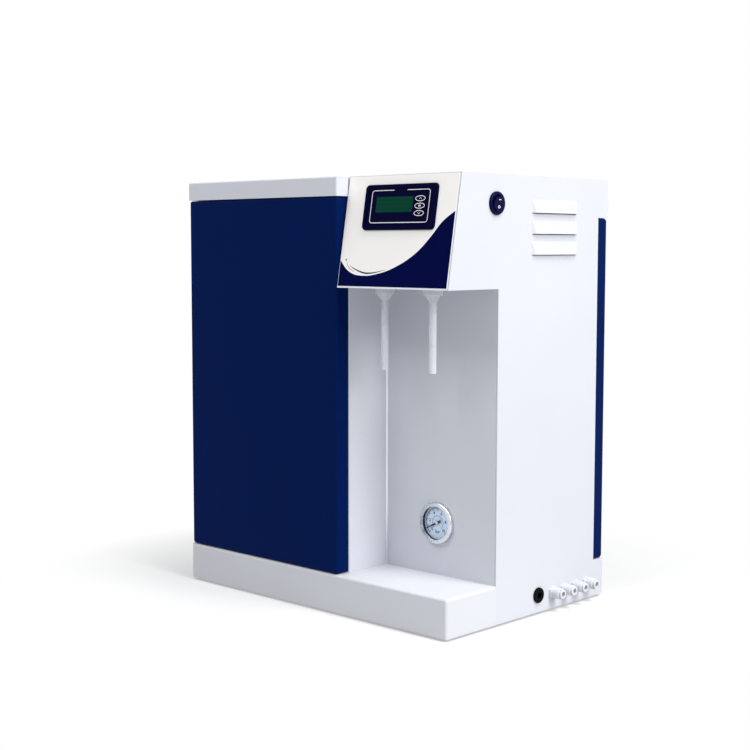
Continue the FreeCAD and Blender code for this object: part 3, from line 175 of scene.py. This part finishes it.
def moulded(name, colour, roughness=0.4, specular=0.4, grain=0.15, scale=2600.0):
    """Moulded plastic with a fine spark-eroded grain."""
    g = Graph(name)
    broad = g.noise(30.0, 2.0)
    return g.set(Base_Color=g.mottled(broad, scaled(colour, 0.9), colour),
                 Roughness=g.around(broad, roughness, 0.05),
                 Normal=g.bump(g.noise(scale, 2.0), grain, 0.05),
                 Specular_IOR_Level=specular)


def metal(name, colour, roughness=0.3, stretch=(1, 1, 40), scale=260.0, depth=0.12):
    """Bare or plated metal with fine drawn lines."""
    g = Graph(name)
    lines = g.noise(scale, 3.0, stretch)
    return g.set(Base_Color=g.mottled(lines, scaled(colour, 0.82), colour), Metallic=1.0,
                 Roughness=g.around(lines, roughness, 0.07),
                 Normal=g.bump(lines, depth, 0.05))


EDGE_CLEAR = 0.04  # the share of light that passes straight through at a frosted edge


def frosted(name, colour, clear, roughness=0.3):
    """Translucent natural plastic: partly clear where it faces the eye, solid at its edges."""
    g = Graph(name)
    cloud = g.noise(90.0, 2.0)
    g.set(Base_Color=g.mottled(cloud, colour, scaled(colour, 1.08)),
          Roughness=g.spread(cloud, roughness - 0.05, roughness + 0.07),
          Normal=g.bump(g.noise(700.0, 2.0), 0.05, 0.03),
          Specular_IOR_Level=0.6)
    weight = g.node("ShaderNodeLayerWeight")
    weight.inputs["Blend"].default_value = 0.5
    through = g.spread(weight.outputs["Facing"], clear, EDGE_CLEAR, start=0.3, end=0.9)
    return g.surface(g.mixed(through, g.shader.outputs[0],
                             g.node("ShaderNodeBsdfTransparent").outputs[0]))


def printed(name, colour, roughness=0.45, specular=0.3):
    """Screen-printed ink: nearly even, with a trace of the mesh."""
    g = Graph(name)
    mesh = g.noise(4200.0, 1.0)
    return g.set(Base_Color=g.mottled(mesh, scaled(colour, 0.94), colour),
                 Roughness=g.around(mesh, roughness, 0.03),
                 Normal=g.bump(mesh, 0.05, 0.02),
                 Specular_IOR_Level=specular)


CELL_WIDTH, CELL_HEIGHT = 2.95, 4.6  # of one character on the display, mm


def lcd_material():
    """Unlit green display behind its window: faint rows of character cells."""
    g = Graph("display_green")
    cells = []
    for letter, pitch in (("X", CELL_WIDTH), ("Z", CELL_HEIGHT)):
        turns = g.calculate("MULTIPLY", g.axis(letter), 2 * math.pi / (pitch * MM))
        cells.append(g.spread(g.calculate("SINE", turns), 0.0, 1.0, start=-0.75, end=-0.35))
    return g.set(Base_Color=g.blend(g.calculate("MULTIPLY", *cells), linear(8, 66, 50),
                                    linear(5, 58, 44)),
                 Roughness=g.spread(g.noise(40.0), 0.2, 0.28),
                 Specular_IOR_Level=0.02)


GLASS_GLOSS = 0.025  # the share of light that the window reflects


def lens_material():
    """Clear flat window: nearly all light passes straight through."""
    g = Graph("gauge_glass")
    gloss = g.node("ShaderNodeBsdfGlossy")
    g.link(g.spread(g.noise(60.0), 0.04, 0.1), gloss.inputs["Roughness"])
    return g.surface(g.mixed(GLASS_GLOSS, g.node("ShaderNodeBsdfTransparent").outputs[0],
                             gloss.outputs[0]))


def dial_material():
    """Pale blue printed dial."""
    g = Graph("dial_print")
    cloud = g.noise(300.0, 2.0)
    return g.set(Base_Color=g.mottled(cloud, linear(203, 223, 255), linear(213, 232, 255)),
                 Roughness=g.spread(cloud, 0.4, 0.5),
                 Normal=g.bump(g.noise(3000.0), 0.05, 0.02))


def fold_material(highlight_start, highlight_full):
    """Painted highlight on a folded edge: paler than the white paint, fading back to it below;
    the two heights are in millimetres.
    """
    g = Graph("fold_painted_highlight")
    height = g.spread(g.axis("Z"), 0.0, 1.0, highlight_start * MM, highlight_full * MM)
    peel = g.noise(900.0, 2.0)
    # Painted highlight: the white paint turns a near white with height.
    return g.set(Base_Color=g.blend(height, WHITE_PAINT, (0.95, 0.97, 1.0, 1)),
                 Roughness=g.spread(peel, 0.3, 0.42), Normal=g.bump(peel, 0.08, 0.04),
                 Specular_IOR_Level=0.4)


WHITE_PAINT = (0.62, 0.64, 0.70, 1)
WHITE = coated("paint_white", WHITE_PAINT, 0.5, 0.12)
BASE = coated("paint_base", (0.642, 0.658, 0.705, 1), 0.5, 0.12)
# The head's panel is a paler copy of the white paint, painted light that makes its front-facing
# edges look lit.
HEAD_LIT_PAINT = coated("paint_head_painted_light", (0.90, 0.92, 0.98, 1), 0.5, 0.12)
BLUE = coated("paint_blue", linear(1, 24, 77), 0.45, 0.02, 0.1, 0.06)
# Black paint of the gauge case and pump motor; on the gauge case it is partly the real black case
# and partly painted shade, darkening the case's inner wall seen within the ring.
CASE_BLACK_AND_SHADE = coated("case_black_painted_shade", (0.02, 0.02, 0.023, 1), 0.45, 0.4, 0.2)
ZINC = metal("zinc_plate", (0.62, 0.64, 0.66, 1), 0.38, (1, 1, 6), 60.0)
STEEL = metal("bright_steel", (0.7, 0.7, 0.7, 1), 0.24)
RING = metal("gauge_ring_steel", (0.74, 0.77, 0.84, 1), 0.26, (1, 1, 1), 150.0, 0.01)
BRASS = metal("brass_stem", (0.7, 0.5, 0.22, 1), 0.3)
RUBBER = moulded("foot_rubber", (0.02, 0.02, 0.021, 1), 0.75, 0.2, 0.4, 1200.0)
BLACK = moulded("black_plastic", (0.004, 0.004, 0.005, 1), 0.5, 0.03)
NAVY = moulded("navy_plastic", linear(3, 4, 44), 0.42, 0.02, 0.12)
SWITCH = moulded("switch_plastic", linear(2, 3, 54), 0.24, 0.07, 0.05)
KEYS = moulded("key_plastic", linear(3, 4, 44), 0.38, 0.03, 0.08)
IVORY = moulded("white_plastic", (0.83, 0.83, 0.86, 1), 0.35, 0.4, 0.06)
PORT = moulded("port_plastic", (0.68, 0.695, 0.745, 1), 0.5, 0.12, 0.06)
TANK = moulded("cartridge_plastic", (0.8, 0.81, 0.83, 1), 0.42, 0.35, 0.1, 1400.0)
HEAD_BLUE = moulded("head_plastic", (0.03, 0.1, 0.33, 1), 0.45, 0.35)
BOARD = moulded("circuit_board", (0.02, 0.13, 0.06, 1), 0.4, 0.5)
MILKY = frosted("milky_tube", (0.76, 0.80, 0.87, 1), 0.45)
HOSE = frosted("hose_plastic", (0.88, 0.90, 0.92, 1), 0.3)
FILM = printed("film_cream", (0.965, 0.945, 0.925, 1), 0.4, 0.4)
FIELD = printed("film_navy", linear(0, 7, 62), 0.42, 0.02)
LINE = printed("film_white_line", (0.95, 0.95, 0.96, 1))
SILVER = printed("film_silver_line", (0.9, 0.9, 0.95, 1), 0.35, 0.4)
INK = printed("ink_black", (0.01, 0.01, 0.012, 1))
MARK = printed("ink_light", (0.95, 0.95, 1.0, 1))
LCD = lcd_material()
LENS = lens_material()
DIAL = dial_material()

FINISH = {
    "base_pan": BASE, "left_side_panel": WHITE, "right_side_panel": WHITE, "top_cover": WHITE,
    "partition": WHITE, "bay_back_wall": WHITE, "upper_shelf": WHITE, "head_front_panel": HEAD_LIT_PAINT,
    "bottom_plate": ZINC, "rear_rails": ZINC, "rubber_feet": RUBBER,
    "rear_cover": BLUE, "door_skin": BLUE, "door_liner": BLUE,
    "rear_cover_screws": STEEL, "door_hinge_pins": STEEL, "catch_strike": STEEL,
    "door_bushes": BLACK, "magnetic_catch": BLACK, "mains_gland": BLACK,
    "panel_film": FILM, "display_bezel": NAVY, "display_window": LCD, "lcd_module": ZINC,
    "key_lower": KEYS, "key_middle": KEYS, "key_upper": KEYS, "control_board": BOARD,
    "rocker_housing": SWITCH, "rocker_paddle": SWITCH,
    # gauge_case in black: partly its own black paint, partly painted shade for the dark inner
    # wall within the ring.
    "gauge_case": CASE_BLACK_AND_SHADE, "gauge_bezel": RING, "gauge_lens": LENS, "gauge_dial": DIAL,
    "gauge_socket": BRASS, "gauge_needle": BLACK, "gauge_clamp": ZINC,
    "outlet_collars": MILKY, "outlet_tubes": MILKY, "panel_nuts": IVORY, "port_bodies": PORT,
    "port_collet_1": PORT, "port_collet_2": PORT, "port_collet_3": PORT, "port_collet_4": PORT,
    "sediment_cartridge": TANK, "carbon_cartridge": TANK, "scale_cartridge": TANK,
    "filter_heads": HEAD_BLUE, "filter_bracket": ZINC, "membrane_housing": TANK,
    "polishing_columns": TANK, "column_rack": ZINC, "pump_head": BLACK, "pump_motor": CASE_BLACK_AND_SHADE,
    "pump_bracket": ZINC, "solenoid_valves": IVORY, "power_supply": ZINC, "internal_tubes": HOSE,
}
for name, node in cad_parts.items():
    for holder in node.material_slots:
        holder.material = FINISH[name]


# ---------------------------------------------------------------- mesh helpers
def add(name, vertices, faces, material, body, slot, placed):
    """New mesh piece that rides on a CAD body; placed turns (u, v, n) into a point in metres."""
    mesh = bpy.data.meshes.new(name)
    mesh.from_pydata([placed(*v) for v in vertices], [], faces)
    mesh.validate()
    mesh.materials.append(material)
    piece = bpy.data.objects.new(name, mesh)
    bpy.context.scene.collection.objects.link(piece)
    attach(piece, body)


def slab(outline, low, high):
    """Closed flat prism from an outline in (u, v), between two heights n."""
    n = len(outline)
    vertices = [(u, v, low) for u, v in outline] + [(u, v, high) for u, v in outline]
    faces = [list(range(n))[::-1], list(range(n, 2 * n))]
    faces += [[i, (i + 1) % n, n + (i + 1) % n, n + i] for i in range(n)]
    return vertices, faces


def ribbon(points, width, low, high, closed=False):
    """Closed flat prism of one width along points in (u, v)."""
    left_side, right_side = [], []
    count = len(points)
    for i, (u, v) in enumerate(points):
        before = points[i - 1] if i or closed else points[i]
        after = points[(i + 1) % count] if i < count - 1 or closed else points[i]
        du, dv = after[0] - before[0], after[1] - before[1]
        length = math.hypot(du, dv)
        offset_u, offset_v = -dv / length * width / 2, du / length * width / 2
        left_side.append((u + offset_u, v + offset_v))
        right_side.append((u - offset_u, v - offset_v))
    vertices, faces = [], []
    for a, b in zip(left_side, right_side):
        vertices += [(*a, low), (*b, low), (*b, high), (*a, high)]
    steps = count if closed else count - 1
    for i in range(steps):
        p, q = 4 * i, 4 * ((i + 1) % count)
        for k in range(4):
            faces.append([p + k, q + k, q + (k + 1) % 4, p + (k + 1) % 4])
    if not closed:
        faces += [[0, 1, 2, 3], [4 * count - 1, 4 * count - 2, 4 * count - 3, 4 * count - 4]]
    return vertices, faces


def smooth_curve(points, steps=8):
    """Points along a Catmull-Rom curve through the given ones."""
    padded = [points[0]] + list(points) + [points[-1]]
    out = []
    for a, b, c, d in zip(padded, padded[1:], padded[2:], padded[3:]):
        for i in range(steps):
            t = i / steps
            out.append(tuple(0.5 * (2 * q + (r - p) * t + (2 * p - 5 * q + 4 * r - s) * t * t
                                    + (3 * q - p - 3 * r + s) * t ** 3)
                             for p, q, r, s in zip(a, b, c, d)))
    return out + [points[-1]]


def crescent(points, weight):
    """Outline of a stroke along points that swells to a width in its middle."""
    line = smooth_curve(points)
    swell = [weight / 2 * math.sin(math.pi * i / (len(line) - 1)) for i in range(len(line))]
    lower = [(u, v - w) for (u, v), w in zip(line, swell)]
    upper = [(u, v + w) for (u, v), w in zip(line, swell)]
    return lower + upper[-2:0:-1]


def arc(u, v, radius_u, radius_v, start, end, steps):
    """Points along an elliptical arc, in degrees."""
    return [(u + radius_u * math.cos(math.radians(start + (end - start) * i / steps)),
             v + radius_v * math.sin(math.radians(start + (end - start) * i / steps)))
            for i in range(steps + 1)]


def loop(u, v, radius_u, radius_v, steps):
    """Points round a whole ellipse."""
    return arc(u, v, radius_u, radius_v, 0, 360, steps)[:-1]


def rounded_box(u0, u1, v0, v1, radius, steps):
    """Outline of a rectangle with rounded corners, anticlockwise from its lower left."""
    out = []
    for u, v, start in ((u0 + radius, v0 + radius, 180), (u1 - radius, v0 + radius, 270),
                        (u1 - radius, v1 - radius, 0), (u0 + radius, v1 - radius, 90)):
        out += arc(u, v, radius, radius, start, start + 90, steps)
    return out


def merged(*parts):
    """Several meshes as one list of vertices and one of faces."""
    vertices, faces = [], []
    for part_vertices, part_faces in parts:
        shift = len(vertices)
        vertices += part_vertices
        faces += [[i + shift for i in face] for face in part_faces]
    return vertices, faces


FIGURE_WEIGHT = 0.1  # how far each figure's outline is let out, mm


def figures(text, size, u, v, low, high):
    """Closed mesh of some figures, centred on (u, v)."""
    curve = bpy.data.curves.new("figures", "FONT")
    curve.body = text
    curve.size = size
    curve.align_x = "CENTER"
    curve.align_y = "CENTER"
    curve.resolution_u = 3
    curve.extrude = (high - low) / 2
    curve.offset = FIGURE_WEIGHT
    holder = bpy.data.objects.new("figures", curve)
    bpy.context.scene.collection.objects.link(holder)
    bpy.context.view_layer.update()
    mesh = bpy.data.meshes.new_from_object(holder.evaluated_get(
        bpy.context.evaluated_depsgraph_get()))
    vertices = [(u + p.co.x, v + p.co.y, p.co.z + (low + high) / 2) for p in mesh.vertices]
    faces = [list(p.vertices) for p in mesh.polygons]
    bpy.data.objects.remove(holder)
    bpy.data.curves.remove(curve)
    bpy.data.meshes.remove(mesh)
    return vertices, faces


# ---------------------------------------------------------------- control panel print
# All lengths from here on, the camera's too, are in millimetres. Print sinks a little way into
# the face under it and stands a few hundredths above it, the topmost print highest.
SETBACK, HEAD_HEIGHT = 21.5, 125.0  # how far the leaning face goes back, over what height
LEAN = math.atan2(SETBACK, HEAD_HEIGHT)
SLOPE = math.hypot(SETBACK, HEAD_HEIGHT)
HEAD_LEFT = 0.8  # across, where the head's left edge is on the face
FILM_FACE = 0.3  # outwards, the film's front
PRINT_SINK, PRINT_RISE = 0.05, 0.05
FIELD_RISE, STROKE_RISE = 0.03, 0.04
head_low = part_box("head_front_panel")[0]


def panel_place(u, v, n):
    """Point in metres from millimetres on the leaning face: across, up the face, outwards."""
    along = v * math.cos(LEAN) + n * math.sin(LEAN)
    back = v * math.sin(LEAN) - n * math.cos(LEAN)
    return (head_low.x + (u - HEAD_LEFT) * MM, head_low.y + back * MM, head_low.z + along * MM)


FILM_LEFT, FILM_RIGHT, FILM_FOOT = 1.6, 163.2, 1.95
LINE_WIDTH = 0.9
SWEEP = [(FILM_LEFT, 31.8), (11.6, 22.2), (20.2, 17.5), (30.0, 15.0), (45.6, 14.5), (59.0, 16.5),
         (73.6, 19.9), (88.0, 25.4), (102.0, 32.3), (118.0, 43.3), (132.5, 57.8), (146.8, 74.3),
         (FILM_RIGHT, 85.6)]
sweep = smooth_curve(SWEEP)
field = [(FILM_LEFT, FILM_FOOT), (FILM_RIGHT, FILM_FOOT)] + sweep[::-1]
add("panel_navy_field", *slab(field, FILM_FACE - PRINT_SINK, FILM_FACE + FIELD_RISE), FIELD,
    "cabinet", "cream_film", panel_place)
add("panel_white_line",
    *ribbon(sweep, LINE_WIDTH, FILM_FACE - PRINT_SINK, FILM_FACE + PRINT_RISE), LINE,
    "cabinet", "cream_film", panel_place)

ARC_STROKE = [(16.0, 26.0), (23.3, 22.2), (37.3, 17.7), (47.0, 16.9), (58.7, 18.1), (74.0, 21.4)]
FINE_STROKE = [(10.8, 30.6), (12.5, 27.6), (14.6, 24.2), (18.8, 20.9), (26.5, 17.9)]
ARC_WEIGHT, FINE_WEIGHT = 1.7, 0.8
DOT, DOT_RADIUS = (10.3, 31.8), 1.0
strokes = [crescent(ARC_STROKE, ARC_WEIGHT), crescent(FINE_STROKE, FINE_WEIGHT),
           loop(*DOT, DOT_RADIUS, DOT_RADIUS, 24)]
add("panel_thin_arc",
    *merged(*(slab(stroke, FILM_FACE - PRINT_SINK, FILM_FACE + STROKE_RISE)
              for stroke in strokes)),
    FIELD, "cabinet", "cream_film", panel_place)


# ---------------------------------------------------------------- bay corner
# A thin skin on the back wall's left fold, from its flange round to its face, coloured as a
# painted highlight that fades out towards the deck.
SHEET, FOLD_ROUND, FOLD_SKIN = 1.5, 0.9, 0.06
FOLD_CLEAR = 0.3  # left free above the deck and below the shelf
FLANGE_REACH = 2.7  # how far back the skin runs along the flange
INSIDE = (0.6, 0.5)  # its hidden corner within the sheet, from the wall's left and front
FOLD_TURN = 60  # degrees of the round that it covers
FOLD_HIGHLIGHT_FADE = (15.0, 70.0)  # heights above its foot between which it grows bright
wall_low, wall_high = (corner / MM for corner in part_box("bay_back_wall"))
fold_foot, fold_top = wall_low.z + FOLD_CLEAR, wall_high.z - SHEET - FOLD_CLEAR
fold_side = wall_low.x + SHEET + FOLD_SKIN
fold_round = FOLD_ROUND + FOLD_SKIN
fold_outline = [(fold_side, wall_low.y + FLANGE_REACH)]
fold_outline += arc(fold_side - fold_round, wall_low.y + FOLD_ROUND, fold_round, fold_round,
                    0, -FOLD_TURN, 6)
fold_outline += [(wall_low.x + INSIDE[0], wall_low.y + INSIDE[1]),
                 (wall_low.x + INSIDE[0], wall_low.y + FLANGE_REACH)]
# The skin's pale colour is a painted highlight, not a paint of its own.
add("bay_fold_painted_highlight", *slab(fold_outline[::-1], fold_foot, fold_top),
    fold_material(fold_foot + FOLD_HIGHLIGHT_FADE[0], fold_foot + FOLD_HIGHLIGHT_FADE[1]), "cabinet", "white_paint",
    lambda u, v, n: (u * MM, v * MM, n * MM))


# ---------------------------------------------------------------- display bezel print
BEZEL_DROP, BEZEL_HEIGHT = 11.1, 50.7
BEZEL_LEFT = (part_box("display_bezel")[0].x - head_low.x) / MM + HEAD_LEFT
BEZEL_FOOT = SLOPE - BEZEL_DROP - BEZEL_HEIGHT
BEZEL_FLOOR = 1.8  # outwards, the face within the raised frame
FRAME_LEFT, FRAME_RIGHT = BEZEL_LEFT + 10.4, BEZEL_LEFT + 95.8  # the silver line's sides
FRAME_FOOT, FRAME_TOP = BEZEL_FOOT + 8.0, BEZEL_FOOT + 44.0
GAP_LEFT, GAP_RIGHT = BEZEL_LEFT + 43.0, BEZEL_LEFT + 62.5  # the break in its upper side
FRAME_ROUND, FRAME_WIDTH, CORNER_STEPS = 3.2, 0.8, 6
corners = rounded_box(FRAME_LEFT, FRAME_RIGHT, FRAME_FOOT, FRAME_TOP, FRAME_ROUND, CORNER_STEPS)
upper_left = 3 * (CORNER_STEPS + 1)
silver_line = ([(GAP_LEFT, FRAME_TOP)] + corners[upper_left:] + corners[:upper_left]
               + [(GAP_RIGHT, FRAME_TOP)])
add("bezel_silver_line",
    *ribbon(silver_line, FRAME_WIDTH, BEZEL_FLOOR - PRINT_SINK, BEZEL_FLOOR + PRINT_RISE), SILVER,
    "cabinet", "navy_plastic", panel_place)


# ---------------------------------------------------------------- keys
KEY_U, KEY_V, KEY_PITCH = BEZEL_LEFT + 83.3, BEZEL_FOOT + 17.8, 8.1
KEY_TOP = 2.6
KEY_RING, RING_WIDTH = (6.9, 2.8), 0.65
HOOK_HALF, HOOK_END, HOOK_TIP, HOOK_WIDTH = 1.6, 0.7, 0.9, 0.5  # the arrow signs
BAR_HALF, BAR_PITCH, BAR_WIDTH = 1.7, 0.7, 0.45  # the three bars of the list sign


def key_print(name, place, lines, width):
    """Ring and sign on one key, counted from the lowest."""
    centre_v = KEY_V + place * KEY_PITCH
    faces = KEY_TOP - PRINT_SINK, KEY_TOP + PRINT_RISE
    parts = [ribbon(loop(KEY_U, centre_v, *KEY_RING, 48), RING_WIDTH, *faces, True)]
    for points in lines:
        parts.append(ribbon([(KEY_U + u, centre_v + v) for u, v in points], width, *faces))
    add(name + "_print", *merged(*parts), MARK, name, "navy_plastic", panel_place)


def hook(way):
    """Arrow sign: 1 points up, -1 down."""
    return [[(-HOOK_HALF, -way * HOOK_END), (0.0, way * HOOK_TIP), (HOOK_HALF, -way * HOOK_END)]]


key_print("key_lower", 0, hook(-1), HOOK_WIDTH)
key_print("key_middle", 1,
          [[(-BAR_HALF, v), (BAR_HALF, v)] for v in (BAR_PITCH, 0.0, -BAR_PITCH)], BAR_WIDTH)
key_print("key_upper", 2, hook(1), HOOK_WIDTH)


# ---------------------------------------------------------------- gauge dial and needle
SCALE_START, SCALE_SWEEP = 225, 270  # degrees, clockwise from the lower left
DIVISIONS, MINOR = 10, 5
SCALE_RADIUS, MAJOR_INNER, MINOR_INNER = 17.6, 14.6, 16.0
SCALE_WIDTH, MAJOR_WIDTH, MINOR_WIDTH = 0.5, 0.7, 0.35
FIGURE_RADIUS, FIGURE_SIZE = 11.9, 5.0
UNIT_DROP, UNIT_SIZE = 10.4, 5.4
SECOND_RADIUS, SECOND_MAJOR, SECOND_MINOR = 8.2, 6.6, 7.2  # the smaller scale within
SECOND_WIDTH, SECOND_TICK_WIDTH = 0.4, 0.22
DIAL_SINK, TICK_RISE, ARC_RISE = 0.02, 0.05, 0.04
NEEDLE_FRONT, HUB_RADIUS, HUB_SINK, HUB_RISE = 1.9, 1.7, 0.1, 0.25
dial_low, dial_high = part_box("gauge_dial")
dial_centre = (dial_low + dial_high) / 2


def dial_place(u, v, n):
    """Point in metres from millimetres on the dial: right, up, towards the front."""
    return (dial_centre.x + u * MM, dial_low.y - n * MM, dial_centre.z + v * MM)


def scale_turn(step, steps):
    """Direction of one step of the scale, in degrees."""
    return SCALE_START - SCALE_SWEEP * step / steps


def dial_tick(angle, inner, outer, width):
    """Short line along a radius."""
    c, s = math.cos(math.radians(angle)), math.sin(math.radians(angle))
    return ribbon([(inner * c, inner * s), (outer * c, outer * s)], width, -DIAL_SINK, TICK_RISE)


def dial_arc(radius, width, steps):
    """Line along the whole scale."""
    return ribbon(arc(0, 0, radius, radius, SCALE_START, SCALE_START - SCALE_SWEEP, steps), width,
                  -DIAL_SINK, ARC_RISE)


ticks = [dial_arc(SCALE_RADIUS, SCALE_WIDTH, 60)]
for i in range(DIVISIONS * MINOR + 1):
    inner, width = (MINOR_INNER, MINOR_WIDTH) if i % MINOR else (MAJOR_INNER, MAJOR_WIDTH)
    ticks.append(dial_tick(scale_turn(i, DIVISIONS * MINOR), inner, SCALE_RADIUS, width))
for i in range(0, DIVISIONS + 1, 2):
    angle = math.radians(scale_turn(i, DIVISIONS))
    ticks.append(figures(str(i), FIGURE_SIZE, FIGURE_RADIUS * math.cos(angle),
                         FIGURE_RADIUS * math.sin(angle), -DIAL_SINK, TICK_RISE))
ticks.append(figures("bar", UNIT_SIZE, 0.0, -UNIT_DROP, -DIAL_SINK, TICK_RISE))
ticks.append(dial_arc(SECOND_RADIUS, SECOND_WIDTH, 40))
for i in range(DIVISIONS * 2 + 1):
    ticks.append(dial_tick(scale_turn(i, DIVISIONS * 2), SECOND_MINOR if i % 2 else SECOND_MAJOR,
                           SECOND_RADIUS, SECOND_TICK_WIDTH))
add("dial_figures", *merged(*ticks), INK, "cabinet", "dial_face", dial_place)
add("needle_hub",
    *slab(loop(0, 0, HUB_RADIUS, HUB_RADIUS, 32), NEEDLE_FRONT - HUB_SINK,
          NEEDLE_FRONT + HUB_RISE),
    IVORY, "needle", "white_plastic", dial_place)


# ---------------------------------------------------------------- rocker marks
PIVOT_BACK, PIVOT_DROP, PIVOT_SET = 79.2, 31.9, 0.4  # from the front, the top and the side
LOUVRE_REACH = 3.4  # the louvres are part of the side panel and stand out from its face
PADDLE_FACE, REST_TILT, FACE_SLOPE = 4.5, 8.0, 8.0
ON_REACH, ON_HALF, ON_WIDTH = 4.5, 1.7, 0.8  # the bar above the pivot
OFF_REACH, OFF_RING, OFF_WIDTH = 3.4, (1.6, 1.2), 0.6  # the ring below it
MARK_FACES = -PRINT_SINK, 0.06
side_low, side_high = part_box("right_side_panel")
pivot = Vector((side_high.x / MM - LOUVRE_REACH - PIVOT_SET, side_low.y / MM + PIVOT_BACK,
                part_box("top_cover")[1].z / MM - PIVOT_DROP))


def paddle_place(u, v, n):
    """Point in metres from millimetres on the paddle: back, up, outwards from its two slopes."""
    tilt = math.radians(REST_TILT)
    out = PADDLE_FACE + abs(v) * math.tan(math.radians(FACE_SLOPE)) + n
    turned = Vector((out * math.cos(tilt) + v * math.sin(tilt), u,
                     v * math.cos(tilt) - out * math.sin(tilt)))
    return (pivot + turned) * MM


add("rocker_on_mark",
    *ribbon([(-ON_HALF, ON_REACH), (ON_HALF, ON_REACH)], ON_WIDTH, *MARK_FACES), MARK,
    "rocker", "navy_plastic", paddle_place)
add("rocker_off_mark",
    *ribbon(loop(0, -OFF_REACH, *OFF_RING, 24), OFF_WIDTH, *MARK_FACES, True), MARK,
    "rocker", "navy_plastic", paddle_place)


# ---------------------------------------------------------------- camera
# Fitted to the cabinet's edges in the photograph. The aim and the shift move the picture
# without turning the camera.
AZIMUTH, ELEVATION, ROLL = 43.5301, 5.1593, 0.0635
SHIFT_X, SHIFT_Y, DISTANCE = 28.1827, -16.6679, 1749.0629
AIM = Vector((0, 0, 250.0))
SENSOR, FOCAL_LENGTH = 36.0, 68.1415
a, e, r = (math.radians(value) for value in (AZIMUTH, ELEVATION, ROLL))
back = Vector((math.sin(a) * math.cos(e), -math.cos(a) * math.cos(e), math.sin(e)))
level = Vector((math.cos(a), math.sin(a), 0))
upward = back.cross(level)
right = math.cos(r) * level + math.sin(r) * upward
up = -math.sin(r) * level + math.cos(r) * upward
turn = Matrix((right, up, back)).transposed()
lens = bpy.data.cameras.new("camera")
lens.sensor_width = SENSOR
lens.lens = FOCAL_LENGTH
camera = bpy.data.objects.new("camera", lens)
bpy.context.scene.collection.objects.link(camera)
camera.rotation_mode = "QUATERNION"
camera.rotation_quaternion = turn.to_quaternion()
camera.location = (AIM - turn @ Vector((SHIFT_X, SHIFT_Y, -DISTANCE))) * MM
bpy.context.scene.camera = camera


# ---------------------------------------------------------------- light and floor
scene = bpy.context.scene
scene.view_settings.view_transform = "Standard"


def background_rays(tree):
    """1 for the rays that show the background: from the camera, a reflection or through glass."""
    path = tree.nodes.new("ShaderNodeLightPath")
    result = path.outputs["Is Camera Ray"]
    for kind in ("Is Glossy Ray", "Is Transmission Ray"):
        higher = tree.nodes.new("ShaderNodeMath")
        higher.operation = "MAXIMUM"
        tree.links.new(result, higher.inputs[0])
        tree.links.new(path.outputs[kind], higher.inputs[1])
        result = higher.outputs[0]
    return result


world = bpy.data.worlds.new("studio")
scene.world = world
world.use_nodes = True
tree = world.node_tree
tree.nodes.clear()
mix = tree.nodes.new("ShaderNodeMixShader")
tree.links.new(background_rays(tree), mix.inputs["Fac"])
# What lights the object, then what the background rays see.
for socket, colour, strength in ((1, (0.97, 0.985, 1.0, 1), 0.42), (2, (1, 1, 1, 1), 1.0)):
    background = tree.nodes.new("ShaderNodeBackground")
    background.inputs["Color"].default_value = colour
    background.inputs["Strength"].default_value = strength
    tree.links.new(background.outputs[0], mix.inputs[socket])
tree.links.new(mix.outputs[0], tree.nodes.new("ShaderNodeOutputWorld").inputs["Surface"])

# name: place and aim in metres, size, power in watts, colour
LIGHTS = {
    "key_right": ((3.4, 0.1, 1.9), (0.1, 0.0, 0.25), (1.5, 1.5), 74.0, (1.0, 0.99, 0.965)),
    "key_high": ((1.8, 0.05, 3.3), (0.1, 0.0, 0.25), (1.5, 1.5), 84.0, (1.0, 0.995, 0.975)),
    "fill_front": ((-0.3, -2.2, 2.7), (0.0, 0.0, 0.25), (1.6, 1.2), 37.0, (1.0, 0.995, 0.985)),
}
for name, (place, aim, size, power, colour) in LIGHTS.items():
    data = bpy.data.lights.new(name, "AREA")
    data.shape = "RECTANGLE"
    data.size, data.size_y = size
    data.energy = power
    data.color = colour
    light = bpy.data.objects.new(name, data)
    scene.collection.objects.link(light)
    light.location = place
    light.rotation_mode = "QUATERNION"
    light.rotation_quaternion = (Vector(aim) - Vector(place)).to_track_quat("-Z", "Y")

FLOOR_REACH = 30.0  # metres
FADE_START, FADE_END = 0.28, 0.5  # metres from the middle, where the floor runs out to white


def floor_material():
    """Pale floor that keeps the soft shadow near the object and runs out to white."""
    g = Graph("pale_floor")
    matt = g.node("ShaderNodeBsdfDiffuse")
    g.link(g.mottled(g.noise(5.0), (0.58, 0.585, 0.59, 1), (0.6, 0.605, 0.61, 1)),
           matt.inputs["Color"])
    lift, white = g.node("ShaderNodeEmission"), g.node("ShaderNodeEmission")
    lift.inputs["Strength"].default_value = 0.3
    white.inputs["Strength"].default_value = 1.0
    near = g.node("ShaderNodeAddShader")
    g.link(matt.outputs[0], near.inputs[0])
    g.link(lift.outputs[0], near.inputs[1])
    far = g.node("ShaderNodeVectorMath", operation="LENGTH")
    g.link(g.place, far.inputs[0])
    fade = g.spread(far.outputs["Value"], 0.0, 1.0, FADE_START, FADE_END)
    shown = g.mixed(fade, near.outputs[0], white.outputs[0])
    return g.surface(g.mixed(background_rays(g.tree), matt.outputs[0], shown))


ground = bpy.data.meshes.new("floor")
ground.from_pydata([(x * FLOOR_REACH, y * FLOOR_REACH, 0)
                    for x, y in ((-1, -1), (1, -1), (1, 1), (-1, 1))], [], [[0, 1, 2, 3]])
ground.materials.append(floor_material())
floor = bpy.data.objects.new("floor", ground)
scene.collection.objects.link(floor)
